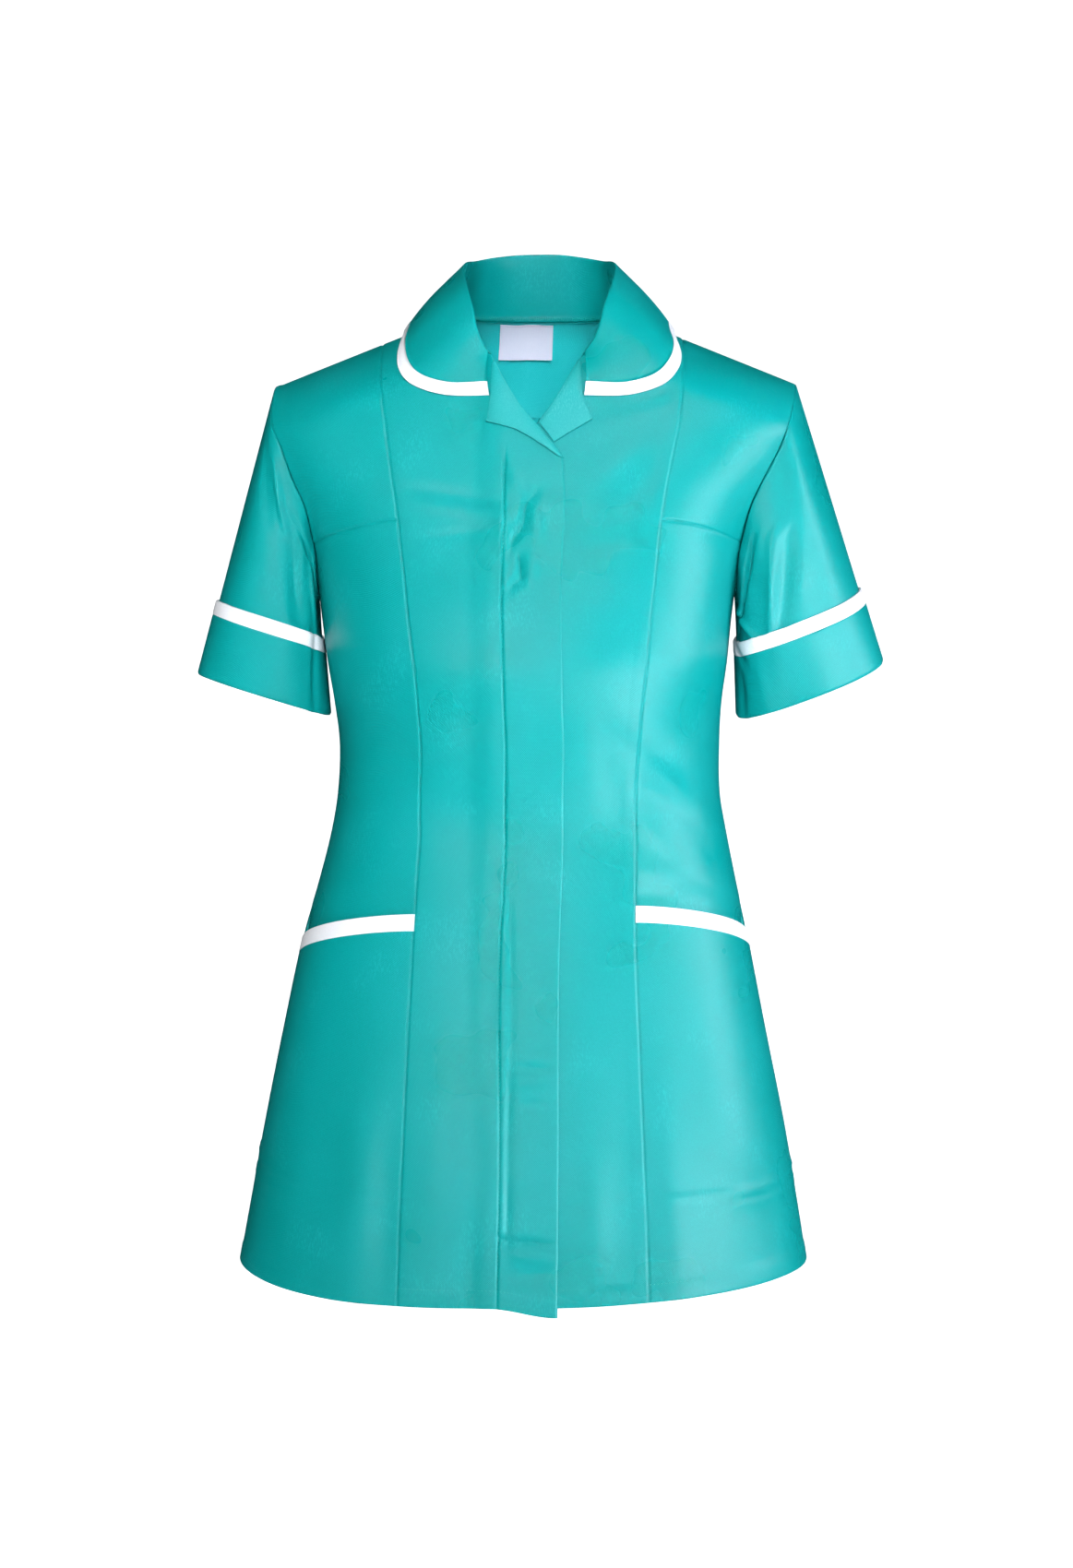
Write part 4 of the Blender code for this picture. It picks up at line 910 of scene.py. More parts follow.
# How the pieces' edges are pressed, and the allowances that show through beside them
ARMHOLE_EDGE = ("last", 0.0005, 0.0006)
SIDE_ALLOWANCES = {
    "right": (("first", -ALLOWANCE_RISE, 0.0040), ("top", -0.0002, 0.0060)),
    "left": (("top", -0.0002, 0.0060),),
}
SHOULDER_ALLOWANCES = {"right": (("last", -0.0006, 0.0045),), "left": ()}
for side, sign in (("right", -1), ("left", 1)):
    edges = (
        lambda z, side=side, sign=sign: sign * seam_angle(z, side),
        lambda z, side=side, sign=sign: sign * armhole_angle(z, side),
    )
    body_piece(
        "cloth_shoulder_front_" + side,
        FRONT,
        (
            *edges,
            lambda x, angle: crest(x),
            lambda x, angle, side=side: bust_seam(x, side),
        ),
        (0.080, 0.125),
        (TOP, BOTTOM, FIRST, ARMHOLE_EDGE, *SHOULDER_ALLOWANCES[side]),
        turns=SHOULDER_TURNS,
    )
    body_piece(
        "cloth_side_front_" + side,
        FRONT,
        (
            *edges,
            lambda x, angle, side=side: bust_seam(x, side),
            lambda x, angle: -POCKET_BAG_BOTTOM + 0 * x,
        ),
        (0.120, 0.460),
        (TOP, FIRST, ARMHOLE_EDGE, *SIDE_ALLOWANCES[side]),
        lift=lambda x, z, angle, side=side: tuck_behind_pocket(angle, z, side),
    )

# ------------------------------------------------------------------ back
# Of the same twill: a yoke over the shoulders, and one wide panel from the yoke seam to the
# hem, seamed into the armholes and side seams.

YOKE_SEAM = 0.069
YOKE_SEAM_FALL = 0.030
YOKE_REACH = 0.19  # how far from the centre the seam has fallen by that much
YOKE_TURNS = (0, 5, 10, 16, 22, 28, 34, 40, 46, 52, 58)


def yoke_seam(x):
    """The seam across the back, lower towards the armholes."""
    return -YOKE_SEAM - YOKE_SEAM_FALL * (np.abs(x) / YOKE_REACH) ** 2


back_edges = (lambda z: -armhole_angle(z, "right"), lambda z: armhole_angle(z, "left"))
body_piece(
    "cloth_back_yoke",
    BACK,
    (
        *back_edges,
        lambda x, angle: np.where(np.abs(x) >= NECK_HALF_WIDTH, crest(x), 0.0),
        lambda x, angle: yoke_seam(x),
    ),
    (0.370, 0.075),
    (TOP, BOTTOM, FIRST, LAST),
    turns=YOKE_TURNS,
)
body_piece(
    "cloth_back_panel",
    BACK,
    (
        *back_edges,
        lambda x, angle: yoke_seam(x),
        lambda x, angle: -HEM_SIDE + 0 * x,
    ),
    (0.400, 0.610),
    (TOP, FIRST, LAST, *HEM_EDGES),
)

# ------------------------------------------------------------------ stitching
# Polyester thread of the cloth's own colour, a little lighter, sewn through all the layers:
# one row down the placket and one round the hem, over the top of its turning.

SUNK = 0.00012  # how deep a stitch's ends sink into the cloth
CROWN, ROOT = 0.42, 0.5  # a stitch's height over its middle and depth under it, of its width


def unit(vectors):
    """The same directions with a length of 1."""
    return vectors / np.maximum(np.linalg.norm(vectors, axis=-1, keepdims=True), 1e-9)


def stitch_row(
    name, points, normals, made_of, pitch=0.0027, length=0.0021, width=0.0006, slant=0.0
):
    """Short raised stitches along a line of points."""
    steps = np.linalg.norm(np.diff(points, axis=0), axis=-1)
    run = np.concatenate(((0.0,), np.cumsum(steps)))
    places = np.arange(pitch / 2, run[-1], pitch)
    centres = np.stack([np.interp(places, run, points[:, i]) for i in range(3)], axis=1)
    ups = unit(np.stack([np.interp(places, run, normals[:, i]) for i in range(3)], axis=1))
    along = unit(np.gradient(centres, axis=0))
    sides = np.cross(ups, along)
    along = unit(along + sides * slant)
    sides = np.cross(ups, along)
    corners = [
        centres - along * length / 2 - ups * SUNK,
        centres + along * length / 2 - ups * SUNK,
        centres - sides * width / 2,
        centres + sides * width / 2,
        centres + ups * width * CROWN,
        centres - ups * width * ROOT,
    ]
    corners = np.stack(corners, axis=1).reshape(-1, 3)
    upper = ((0, 2, 4), (2, 1, 4), (1, 3, 4), (3, 0, 4))
    lower = ((2, 0, 5), (1, 2, 5), (3, 1, 5), (0, 3, 5))
    first = (6 * np.arange(len(centres)))[:, None, None]
    made = add_mesh(name, corners, (np.array(upper + lower) + first).reshape(-1, 3), made_of)
    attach(made, "root")


def line_on_body(angle, z, face, lift):
    """Points and normals along a line on the body's cloth."""
    turn, rise = 0.0008, 0.0008 * 0.1
    across = body_point(angle + turn, z, face) - body_point(angle - turn, z, face)
    upward = body_point(angle, z + rise, face) - body_point(angle, z - rise, face)
    normals = unit(np.cross(across, upward))
    normals = normals * np.sign(normals[:, 1:2] * face)
    points = body_point(angle, z, face)
    points = points + normals * lift(points[:, 0], z, angle)[:, None]
    return points, normals


thread = cloth_material(
    "teal_thread",
    (0.004, 0.360, 0.340, 1),
    (0.060, 0.460, 0.450, 1),
    (0.000, 0.300, 0.270, 1),
    0.50,
)
FLY_ROW_ENDS = (0.113, 0.701)
FLY_ROW_POINTS = 500
FLY_ROW_LIFT = 0.00025
HEM_ROW_LIFT = 0.0001
HEM_ROW_POINTS = 900
# Angles in radians: the hem's rows end just short of the side seams, and so far before and
# past the lap's edge
SIDE_END = 1.54
BEFORE_LAP, PAST_LAP = 0.006, 0.012


def fly_row_lift(x, z, angle):
    """The placket's stitches lie on the right front."""
    return right_lift(x, z, angle) + FLY_ROW_LIFT


def front_hem_lift(x, z, angle):
    """The hem's stitches lie on the right front and, past the lap, on the left one."""
    over = np.where(x < section(-z, "centre") + LAP_EDGE, right_lift(x, z, angle), 0.0)
    return np.where(angle > -seam_angle(z, "right"), over, 0.0) + HEM_ROW_LIFT


def back_hem_lift(x, z, angle):
    """Behind, the hem's stitches lie on the body's surface."""
    return 0 * x + HEM_ROW_LIFT


drops = np.linspace(*FLY_ROW_ENDS, FLY_ROW_POINTS)
fly_angle = angle_at(read_table(FLY_STITCHES, drops, 1), -drops)
stitch_row("stitches_placket", *line_on_body(fly_angle, -drops, FRONT, fly_row_lift), thread)
lap_corner = angle_at(LAP_EDGE, np.array(-0.69))
for name, face, start, end, lift in (
    ("front_right", FRONT, -SIDE_END, lap_corner - BEFORE_LAP, front_hem_lift),
    ("front_left", FRONT, lap_corner + PAST_LAP, SIDE_END, front_hem_lift),
    ("back", BACK, -SIDE_END, SIDE_END, back_hem_lift),
):
    angle = np.linspace(start, end, HEM_ROW_POINTS)
    bottom = hem_line(angle) if face == FRONT else np.full(HEM_ROW_POINTS, -HEM_SIDE)
    if name == "front_right":
        bottom = right_hem(place_at(angle, bottom), angle)
    line = line_on_body(angle, bottom + HEM_TURNING, face, lift)
    stitch_row("stitches_hem_" + name, *line, thread)

# ------------------------------------------------------------------ hip pockets
# The pocket's outer layer runs from its curved mouth to the hem, sewn in with the long front
# seam and the side seam. A white bias strip binds the mouth. The bag behind ends above the hem
# and its bottom shows through as two faint ridges.

POCKET_TRIM = 0.0118
TRIM_RISE = 0.0003  # of a white strip over the cloth that it binds
POCKET_GAPE = 0.0016
GAPE_FADE = 0.03
RIDGE_WIDTH = 0.0022
RIDGE_START = 0.1  # the share of the way across over which the bag's ridge rises
# Columns: side, the ridge's drops at the long seam, half way and at the side seam, and its rise
BAG_RIDGES = (
    ("right", 0.6205, 0.6175, 0.6030, 0.0008),
    ("right", 0.6290, 0.6270, 0.6180, 0.0006),
    ("left", 0.6270, 0.6240, 0.6150, 0.0008),
    ("left", 0.6350, 0.6330, 0.6260, 0.0005),
)


def pocket_gape(angle, z, side):
    """The mouth stands off a little between its two sewn ends."""
    inner = seam_angle(z, side)
    share = np.clip((np.abs(angle) - inner) / (math.pi / 2 - inner), 0.0, 1.0)
    below = pocket_mouth(angle, side) - z
    rise = POCKET_GAPE * np.sin(math.pi * share) * np.exp(-below / GAPE_FADE)
    for ridge_side, *drops, height in BAG_RIDGES:
        if ridge_side == side:
            line = np.interp(share, (0.0, 0.5, 1.0), drops)
            ridge = height * np.exp(-(((-z - line) / RIDGE_WIDTH) ** 2))
            rise = rise + ridge * smooth_step(0.0, RIDGE_START, share)
    return rise


white = cloth_material(
    "white_trim",
    (0.860, 0.870, 0.920, 1),
    (0.950, 0.955, 0.980, 1),
    (0.790, 0.800, 0.850, 1),
    0.60,
    620.0,
)

for side, sign in (("right", -1), ("left", 1)):
    edges = (
        lambda z, side=side, sign=sign: sign * seam_angle(z, side),
        lambda z, sign=sign: sign * math.pi / 2 + 0 * z,
    )

    def gape(x, z, angle, side=side):
        """How far this side's pocket stands off the body."""
        return pocket_gape(angle, z, side)

    def trim_gape(x, z, angle, side=side):
        """The same for its white strip."""
        return pocket_gape(angle, z, side) + TRIM_RISE

    body_piece(
        "cloth_pocket_trim_" + side,
        FRONT,
        (
            *edges,
            lambda x, angle, side=side: pocket_mouth(angle, side),
            lambda x, angle, side=side: pocket_mouth(angle, side) - POCKET_TRIM,
        ),
        (0.120, POCKET_TRIM),
        (("top", 0.0006, 0.0006), ("bottom", 0.0004, 0.0005)),
        slot="white_trim",
        made_of=white,
        lift=trim_gape,
    )
    body_piece(
        "cloth_pocket_" + side,
        FRONT,
        (
            *edges,
            lambda x, angle, side=side: pocket_mouth(angle, side) - POCKET_TRIM,
            lambda x, angle: hem_line(angle),
        ),
        (0.160, 0.250),
        (FIRST, LAST, *HEM_EDGES),
        lift=gape,
    )

# ------------------------------------------------------------------ collar
# A rounded collar on a low stand, one shaped leaf of interlined twill that rises from the neck
# seam, rolls over and lies on the shoulders, its outer edge bound with a white bias strip.

COLLAR_CLOTH = 0.0017
TRIM_CLOTH = COLLAR_CLOTH + 0.0006  # the binding takes in the collar's edge
COLLAR_LIFT = 0.0012  # least clearance between the fall and the body
COLLAR_ROLL = 0.0030  # how far before the stand's top the roll begins
ROLL_SHARE = 0.45  # and at most this share of the stand
ROLL_SPREAD = 0.65  # how far the fall's top stands away from the neck, of the roll
ROLL_PULL = 1.25  # how full the roll's curve is
COLLAR_BOW = 0.0035  # rise of the fall between the roll and its edge
TRIM_WIDTH = 0.0105
# Rows on the stand, over the roll, on the fall, and their places on the binding
STAND_ROWS, ROLL_ROWS, FALL_ROWS = 10, 9, 16
BINDING_ROWS = (0.25, 0.5, 0.75, 1.0)
# Columns: half the neck's width there, its face, the stand's height and lean (radians), and
# the sideways reach and drop of the fall's edge
COLLAR = (
    (0.0000, BACK, 0.0500, -0.20, 0.0000, 0.0120),
    (0.0200, BACK, 0.0495, -0.20, 0.0330, 0.0130),
    (0.0380, BACK, 0.0470, -0.20, 0.0620, 0.0150),
    (0.0530, BACK, 0.0430, -0.20, 0.0850, 0.0160),
    (0.0608, BACK, 0.0395, -0.22, 0.0950, 0.0150),
    (0.0585, FRONT, 0.0330, -0.18, 0.0975, 0.0200),
    (0.0520, FRONT, 0.0265, -0.10, 0.1000, 0.0330),
    (0.0455, FRONT, 0.0190, 0.00, 0.0980, 0.0450),
    (0.0410, FRONT, 0.0115, 0.30, 0.0880, 0.0550),
    (0.0364, FRONT, 0.0065, 0.80, 0.0640, 0.0625),
    (0.0322, FRONT, 0.0040, 1.20, 0.0333, 0.0630),
)


def body_level(points):
    """Under 0 inside the body surface and over 0 outside it."""
    x, y, z = np.moveaxis(points, -1, 0)
    shift = (x - section(-z, "centre")) / section(-z, "half_width")
    depth = np.where(y > 0, section(-z, "back"), section(-z, "front"))
    lack = 1 - np.clip((crest(x) - z) / SHOULDER_ROUND, -1.0, 1.0)
    across = np.maximum(1 - np.abs(shift) ** ROUNDNESS, 0.0) ** (2 / ROUNDNESS)
    across = np.where(np.abs(shift) > 1, 1 - np.abs(shift) ** ROUNDNESS, across)
    return (y / depth) ** 2 - across * (1 - lack * lack)


# A point that is too near to the body is moved off it in so many rounds, by so much at most in
# each, along the slope of the body's surface found over a small step.
LIFT_ROUNDS, LIFT_MOST, SLOPE_STEP = 4, 0.004, 0.00008


def lifted(points, least):
    """The points themselves, or the nearest ones that stand at least this far off the body."""
    for _ in range(LIFT_ROUNDS):
        slope = np.stack(
            [
                (body_level(points + axis) - body_level(points - axis)) / (2 * SLOPE_STEP)
                for axis in np.eye(3) * SLOPE_STEP
            ],
            axis=-1,
        )
        length = np.maximum(np.linalg.norm(slope, axis=-1), 1e-6)
        short = np.clip(least - body_level(points) / length, 0.0, LIFT_MOST)
        points = points + slope / length[..., None] * short[..., None]
    return points


NECK_GAP = 0.0003  # between the neck seam and the collar's first row
UNDER_CREST = 0.0001  # the fall's edge stays this far below the shoulder line


def collar_rows(sign):
    """The neck seam, the roll's peak and the fall's edge at each row of the table."""
    necks, edges = [], []
    for reach, face, _, _, edge_reach, edge_drop in COLLAR:
        x, z = sign * reach, NECK_GAP
        if face == FRONT:
            x += neck_lean(reach)
            z += NECK_GAP - read_table(NECK_SEAM, np.array(reach), 1)
        offset = x - section(-np.array(z), "centre")
        necks.append(body_point(angle_at(offset, np.array(z)), np.array(z), face))
        x = sign * edge_reach - NECK_LEAN * (edge_drop / COLLAR[-1][5]) ** 2
        z = np.array(min(-edge_drop, crest(x) - UNDER_CREST))
        edges.append(body_point(angle_at(x - section(-z, "centre"), z), z, face))
    return np.array(necks), np.array(edges)


def through(rows, places, mirrored):
    """A smooth curve through rows of numbers; the first row is on the mirror line."""
    before = rows[1] * mirrored
    padded = np.concatenate((before[None], rows, rows[-1:]))
    index = np.minimum(places.astype(int), len(rows) - 2)
    share = (places - index)[:, None]
    a, b, c, d = (padded[index + i] for i in range(4))
    return 0.5 * (
        2 * b
        + (c - a) * share
        + (2 * a - 5 * b + 4 * c - d) * share**2
        + (3 * b - a - 3 * c + d) * share**3
    )


def collar_half(sign, stations):
    """Rows of points round one half of the collar: up the stand, over the roll and down the
    fall to its binding, and down the binding."""
    places = np.linspace(0, len(COLLAR) - 1, stations)
    necks, edges = collar_rows(sign)
    flip = np.array((-1.0, 1.0, 1.0))
    neck, edge = through(necks, places, flip), through(edges, places, flip)
    shape = through(np.array(COLLAR)[:, 2:4], places, np.ones(2))
    stand, lean = shape[:, :1], shape[:, 1:]
    away = unit(neck * (1, 1, 0))
    roll = neck + stand * (away * np.sin(lean) + np.array((0, 0, 1.0)) * np.cos(lean))
    edge = lifted(edge, COLLAR_CLOTH + COLLAR_LIFT)
    up, out = unit(roll - neck), unit(edge - roll)
    back = np.linalg.norm(roll - neck, axis=-1, keepdims=True) * ROLL_SHARE
    back = np.minimum(COLLAR_ROLL, back)
    start, end = roll - up * back, roll + out * back + away * back * ROLL_SPREAD
    path = [neck + (start - neck) * share for share in np.linspace(0, 1, STAND_ROWS)[:-1]]
    corners = (start, start + up * back * ROLL_PULL, end - out * back * ROLL_PULL, end)
    for t in np.linspace(0, 1, ROLL_ROWS):
        parts = ((1 - t) ** 3, 3 * t * (1 - t) ** 2, 3 * t * t * (1 - t), t**3)
        path.append(sum(part * corner for part, corner in zip(parts, corners)))
    outward = unit(edge * (1, 1, 0))
    cut = 1 - TRIM_WIDTH / np.linalg.norm(edge - end, axis=-1, keepdims=True)
    on_leaf = [share * cut for share in np.linspace(0, 1, FALL_ROWS)[1:]]
    on_trim = [cut + (1 - cut) * share for share in BINDING_ROWS]
    for share in on_leaf + on_trim:
        bow = outward * COLLAR_BOW * np.sin(math.pi * share)
        path.append(lifted(end + (edge - end) * share + bow, COLLAR_CLOTH + COLLAR_LIFT))
    last = len(path) - len(on_trim)
    return np.array(path[:last]), np.array(path[last - 1 :])


STATIONS = 61
halves = {sign: collar_half(sign, STATIONS) for sign in (-1, 1)}
leaf, binding = (
    np.concatenate((halves[-1][i][:, ::-1], halves[1][i][:, 1:]), axis=1) for i in (0, 1)
)


def leaf_normals(grid):
    """Normals of the collar's visible side, on the left of its way round the neck."""
    down = np.gradient(grid, axis=0)
    across = np.gradient(grid, axis=1)
    return unit(np.cross(down, across))


# The waves' height, how many there are, and where down the collar and how widely they lie, and
# then the height, place and half width round the collar and the run down it of one bulge
WAVE_RISE, WAVE_RATE, WAVE_START, WAVE_PLACE, WAVE_REACH = 0.0007, 21, 0.6, 0.75, 0.3
BULGE_RISE, BULGE_PLACE, BULGE_REACH, BULGE_RUN = 0.0008, 0.62, 0.07, (0.4, 0.9)


def collar_bend(grid):
    """Shallow waves in the collar's fall, and one bulge near its left end."""
    rows, columns = grid.shape[:2]
    along = np.linspace(-1, 1, columns)[None]
    down = np.linspace(0, 1, rows)[:, None]
    fade = np.exp(-(((down - WAVE_PLACE) / WAVE_REACH) ** 2))
    wave = WAVE_RISE * np.sin(along * WAVE_RATE + WAVE_START) * fade
    bulge = BULGE_RISE * np.exp(-(((along - BULGE_PLACE) / BULGE_REACH) ** 2))
    return wave + bulge * smooth_step(*BULGE_RUN, down)


# How far the binding lies over the leaf, and how its outer edge and its sewn edge turn in
BINDING_LIFT = 0.00035
BINDING_EDGES = (("bottom", 0.0010, 0.0009), ("top", 0.0002, 0.0005))
LAST_ROWS = slice(-12, None)
both = np.concatenate((leaf, binding[1:]))
normals = leaf_normals(both)
if np.sum(normals[LAST_ROWS, :, 2]) < 0:
    normals = -normals
both = both + normals * collar_bend(both)[..., None]
normals = leaf_normals(both) * np.sign(np.sum(leaf_normals(both) * normals))
count = len(leaf)
leaf_part, leaf_up = both[:count], normals[:count]
trim_part, trim_up = both[count - 1 :], normals[count - 1 :]
distance = edge_distance(trim_part)
roll_in = 0
for edge, depth, width in BINDING_EDGES:
    roll_in = roll_in + depth * np.exp(-((distance[edge] / width) ** 2))
trim_shape = trim_part + trim_up * (BINDING_LIFT - roll_in)[..., None]
collar = shell("cloth_collar", leaf_part, leaf_up, teal, COLLAR_CLOTH)
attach(collar, "root")
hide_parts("collar")
collar_trim = shell("cloth_collar_trim", trim_shape, trim_up, white, TRIM_CLOTH)
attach(collar_trim, "root")
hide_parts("collar_trim")

# The neck seam's allowance is overlocked and pressed up against the stand, inside the back.
OVERLOCK_PLACE = 0.4  # between the leaf's first and second rows
OVERLOCK_LIFT = 0.0003
inside_back = slice(36, 2 * STATIONS - 37)
line = leaf_part[0, inside_back] * (1 - OVERLOCK_PLACE) + leaf_part[1, inside_back] * OVERLOCK_PLACE
line = line + leaf_up[0, inside_back] * OVERLOCK_LIFT
overlock = {"pitch": 0.0017, "length": 0.0040, "width": 0.0008, "slant": 2.0}
stitch_row("overlock_neck", line, leaf_up[0, inside_back], thread, **overlock)

# ------------------------------------------------------------------ revers
# The fronts' facings of the same twill turn back on themselves as two small pointed revers,
# faced side out. Each is sewn into the neck seam and lies loose on its front.

REVER_LIFT = 0.0006
REVER_ROWS = 8  # between one row of the table and the next
REVER_BELLY = 0.0010  # rise between its fold and its free edge
BELLY_REACH = 1.25
REVER_FOLD = 0.0007  # how far its fold rolls down to the front, over this share of its width
REVER_FOLD_WIDTH = 0.05
# Columns: its fold's place and drop, and its free edge's place and drop, row by row down it
REVERS = {
    "right": (
        (-0.0318, 0.0390, -0.0336, 0.0400),
        (-0.0268, 0.0485, -0.0342, 0.0525),
        (-0.0209, 0.0588, -0.0347, 0.0640),
        (-0.0150, 0.0680, -0.0376, 0.0815),
        (-0.0085, 0.0767, -0.0265, 0.0845),
        (-0.0027, 0.0830, -0.0169, 0.0873),
        (0.0040, 0.0912, -0.0060, 0.0933),
        (0.0105, 0.0992, 0.0037, 0.0998),
        (0.0165, 0.1070, 0.0125, 0.1062),
    ),
    "left": (
        (0.0268, 0.0375, 0.0284, 0.0385),
        (0.0245, 0.0410, 0.0290, 0.0470),
        (0.0207, 0.0472, 0.0298, 0.0640),
        (0.0160, 0.0553, 0.0367, 0.0794),
        (0.0103, 0.0655, 0.0260, 0.0858),
        (0.0045, 0.0733, 0.0180, 0.0905),
        (-0.0010, 0.0815, 0.0098, 0.0957),
    ),
}

for side, rows in REVERS.items():
    rows = np.array(rows)
    fine = np.linspace(0, len(rows) - 1, (len(rows) - 1) * REVER_ROWS + 1)
    rows = np.stack([np.interp(fine, np.arange(len(rows)), rows[:, i]) for i in range(4)], axis=1)
    across = np.concatenate(((0, 0.02, 0.05), np.linspace(0.1, 0.9, 13), (0.95, 0.98, 1)))[None]
    x = rows[:, :1] * (1 - across) + rows[:, 2:3] * across
    z = -(rows[:, 1:2] * (1 - across) + rows[:, 3:4] * across)
    flat = body_point(angle_at(x - section(-z, "centre"), z), z, FRONT)
    up = grid_normals(flat)
    rise = (lap_lift(x, z) if side == "right" else 0 * x) + REVER_LIFT + CLOTH
    rise = rise + REVER_BELLY * np.sin(math.pi * across / BELLY_REACH)
    rise = rise - REVER_FOLD * np.exp(-((across / REVER_FOLD_WIDTH) ** 2))
    rever = shell("cloth_rever_" + side, flat + up * rise[..., None], up, teal_facing)
    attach(rever, "root")
    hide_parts("rever_" + side)

# ------------------------------------------------------------------ neck label
# A bare white label of fine woven polyester, sewn into the neck seam inside the back, from
# which it hangs.

LABEL_CLOTH = 0.0009
LABEL_PLACE = -0.0098
LABEL_WIDTH = 0.0400
LABEL_TOP = 0.0008
LABEL_BOTTOM = 0.0260
LABEL_SLANT = 0.0010
LABEL_OFF = 0.0023  # how far it hangs off the back, and how much more at its bottom
LABEL_SWING = 0.0010
LABEL_WAVE, LABEL_WAVE_RATE = 0.0004, 260
LABEL_DARK = (0.68, 0.69, 0.86, 1)
LABEL_LIGHT = (0.76, 0.77, 0.92, 1)
made, start, shader = new_material("woven_label")
place = start.node("TexCoord", None, None, 3)
threads = start.node("TexWave", {"bands_direction": "Z"}, {"Vector": place, "Scale": 620.0}, 1)
grain = start.node("TexNoise", None, {"Vector": place, "Scale": 900.0})
tone = (threads * 0.6 + grain * 0.4).above(0.2, 0.8)
feed(made.node_tree, shader, "Base Color", tone.mixed(LABEL_DARK, LABEL_LIGHT))
bump = start.node("Bump", None, {"Strength": 0.3, "Distance": 0.0003, "Height": threads})
feed(made.node_tree, shader, "Normal", bump)
shader.inputs["Roughness"].default_value = 0.42
x = LABEL_PLACE + LABEL_WIDTH * (spread(LABEL_WIDTH) - 0.5)[None]
down = spread(LABEL_BOTTOM - LABEL_TOP)[:, None]
z = -LABEL_TOP - (LABEL_BOTTOM - LABEL_TOP) * down + 0 * x
x = x - LABEL_SLANT * down
flat = body_point(angle_at(x - section(-z, "centre"), z), z, BACK)
up = grid_normals(flat)
inwards = LABEL_OFF + LABEL_SWING * down + LABEL_WAVE * np.sin(x * LABEL_WAVE_RATE)
label = shell("woven_label", flat - up * inwards[..., None], up, made, LABEL_CLOTH)
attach(label, "root")
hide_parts("neck_label")

# ------------------------------------------------------------------ sleeves
# Set-in short sleeves. Each ends in a turned-up cuff, a doubled band of the same twill whose
# upper edge carries the white bias strip.

ARMHOLE_TOP = 0.0520  # drop at which the armhole meets the shoulder seam
CUFF_DEPTH = 0.0455
SLEEVE_CLEAR = 0.0036  # room between a sleeve and the body below the underarm
CLEAR_OVER = 0.004  # height over which that room is made
SLEEVE_PUFF = 0.006  # how far front and back belly out between the armhole and the cuff
PUFF_PLACE = 0.8  # under 1, they do so nearer to the armhole than to the cuff
SLEEVE_ROUNDNESS = 2.3
SLEEVE_LINES = 160
SEAM_ROOM = 0.0003  # how far outside the armhole seam a sleeve begins
UNDERARM_ROOM = 0.0012  # and how much more under the arm
BAND_LIFT = 0.0022  # of the cuff over the sleeve
CUFF_FOLDS = 0.6  # share of the sleeve's folds that the doubled cuff keeps
FOLD_ENDS = 0.45  # height of a fold's ends, of its middle
# Columns: side, hem's middle, drop, half size across and deep, tilt, front's fall, set back
SLEEVE_HEMS = (
    ("right", -0.2010, 0.2745, 0.0490, 0.0450, 0.314, 0.0005, 0.006),
    ("left", 0.1970, 0.2700, 0.0555, 0.0450, 0.375, 0.0065, 0.006),
)
# Columns: side, the fold's two ends as turns round the sleeve (radians, 0 at the shoulder,
# 1.57 in front) and places down it (0 to 1), half width, rise
SLEEVE_FOLDS = (
    ("right", 1.14, 0.08, 1.49, 0.22, 0.0040, 0.0034),
    ("right", 0.90, 0.10, 1.20, 0.30, 0.0060, -0.0018),
    ("right", 1.62, 0.16, 1.85, 0.50, 0.0090, -0.0050),
    ("right", 1.74, 0.13, 2.40, 0.08, 0.0040, -0.0044),
    ("right", 2.05, 0.14, 2.50, 0.40, 0.0040, 0.0020),
    ("right", 2.40, 0.45, 2.45, 1.00, 0.0050, -0.0040),
    ("right", 2.15, 0.60, 2.20, 0.95, 0.0050, -0.0012),
    ("right", 1.30, 0.60, 1.25, 0.98, 0.0120, 0.0010),
    ("right", 3.75, 0.10, 4.30, 0.40, 0.0060, -0.0034),
    ("right", 4.20, 0.12, 4.70, 0.50, 0.0070, 0.0022),
    ("right", 4.90, 0.10, 5.20, 0.36, 0.0060, -0.0020),
    ("right", 3.80, 0.55, 3.75, 1.00, 0.0060, -0.0020),
    ("right", 5.60, 0.25, 5.40, 0.60, 0.0080, 0.0012),
    ("left", 1.88, 0.12, 2.32, 0.22, 0.0060, -0.0060),
    ("left", 2.32, 0.20, 2.91, 0.33, 0.0060, -0.0056),
    ("left", 2.75, 0.14, 2.16, 0.55, 0.0026, 0.0034),
    ("left", 2.90, 0.40, 2.45, 0.64, 0.0036, -0.0036),
    ("left", 1.57, 0.22, 1.92, 0.62, 0.0040, 0.0034),
    ("left", 1.40, 0.30, 1.72, 0.62, 0.0060, -0.0034),
    ("left", 1.15, 0.16, 1.30, 0.50, 0.0080, 0.0016),
    ("left", 2.70, 0.66, 2.70, 1.00, 0.0060, -0.0034),
    ("left", 2.20, 0.70, 2.15, 1.00, 0.0050, 0.0016),
    ("left", 3.80, 0.12, 4.35, 0.38, 0.0060, -0.0036),
    ("left", 4.25, 0.14, 4.60, 0.52, 0.0065, 0.0024),
    ("left", 4.95, 0.12, 5.15, 0.40, 0.0070, -0.0018),
    ("left", 3.70, 0.60, 3.80, 1.00, 0.0055, -0.0018),
    ("left", 5.50, 0.30, 5.55, 0.65, 0.0090, 0.0012),
)
# Mean sizes, by which a fold's width is the same all over the sleeve
SLEEVE_RADIUS = 0.050
SLEEVE_LENGTH = 0.225
turns = 2 * math.pi * np.arange(SLEEVE_LINES) / SLEEVE_LINES


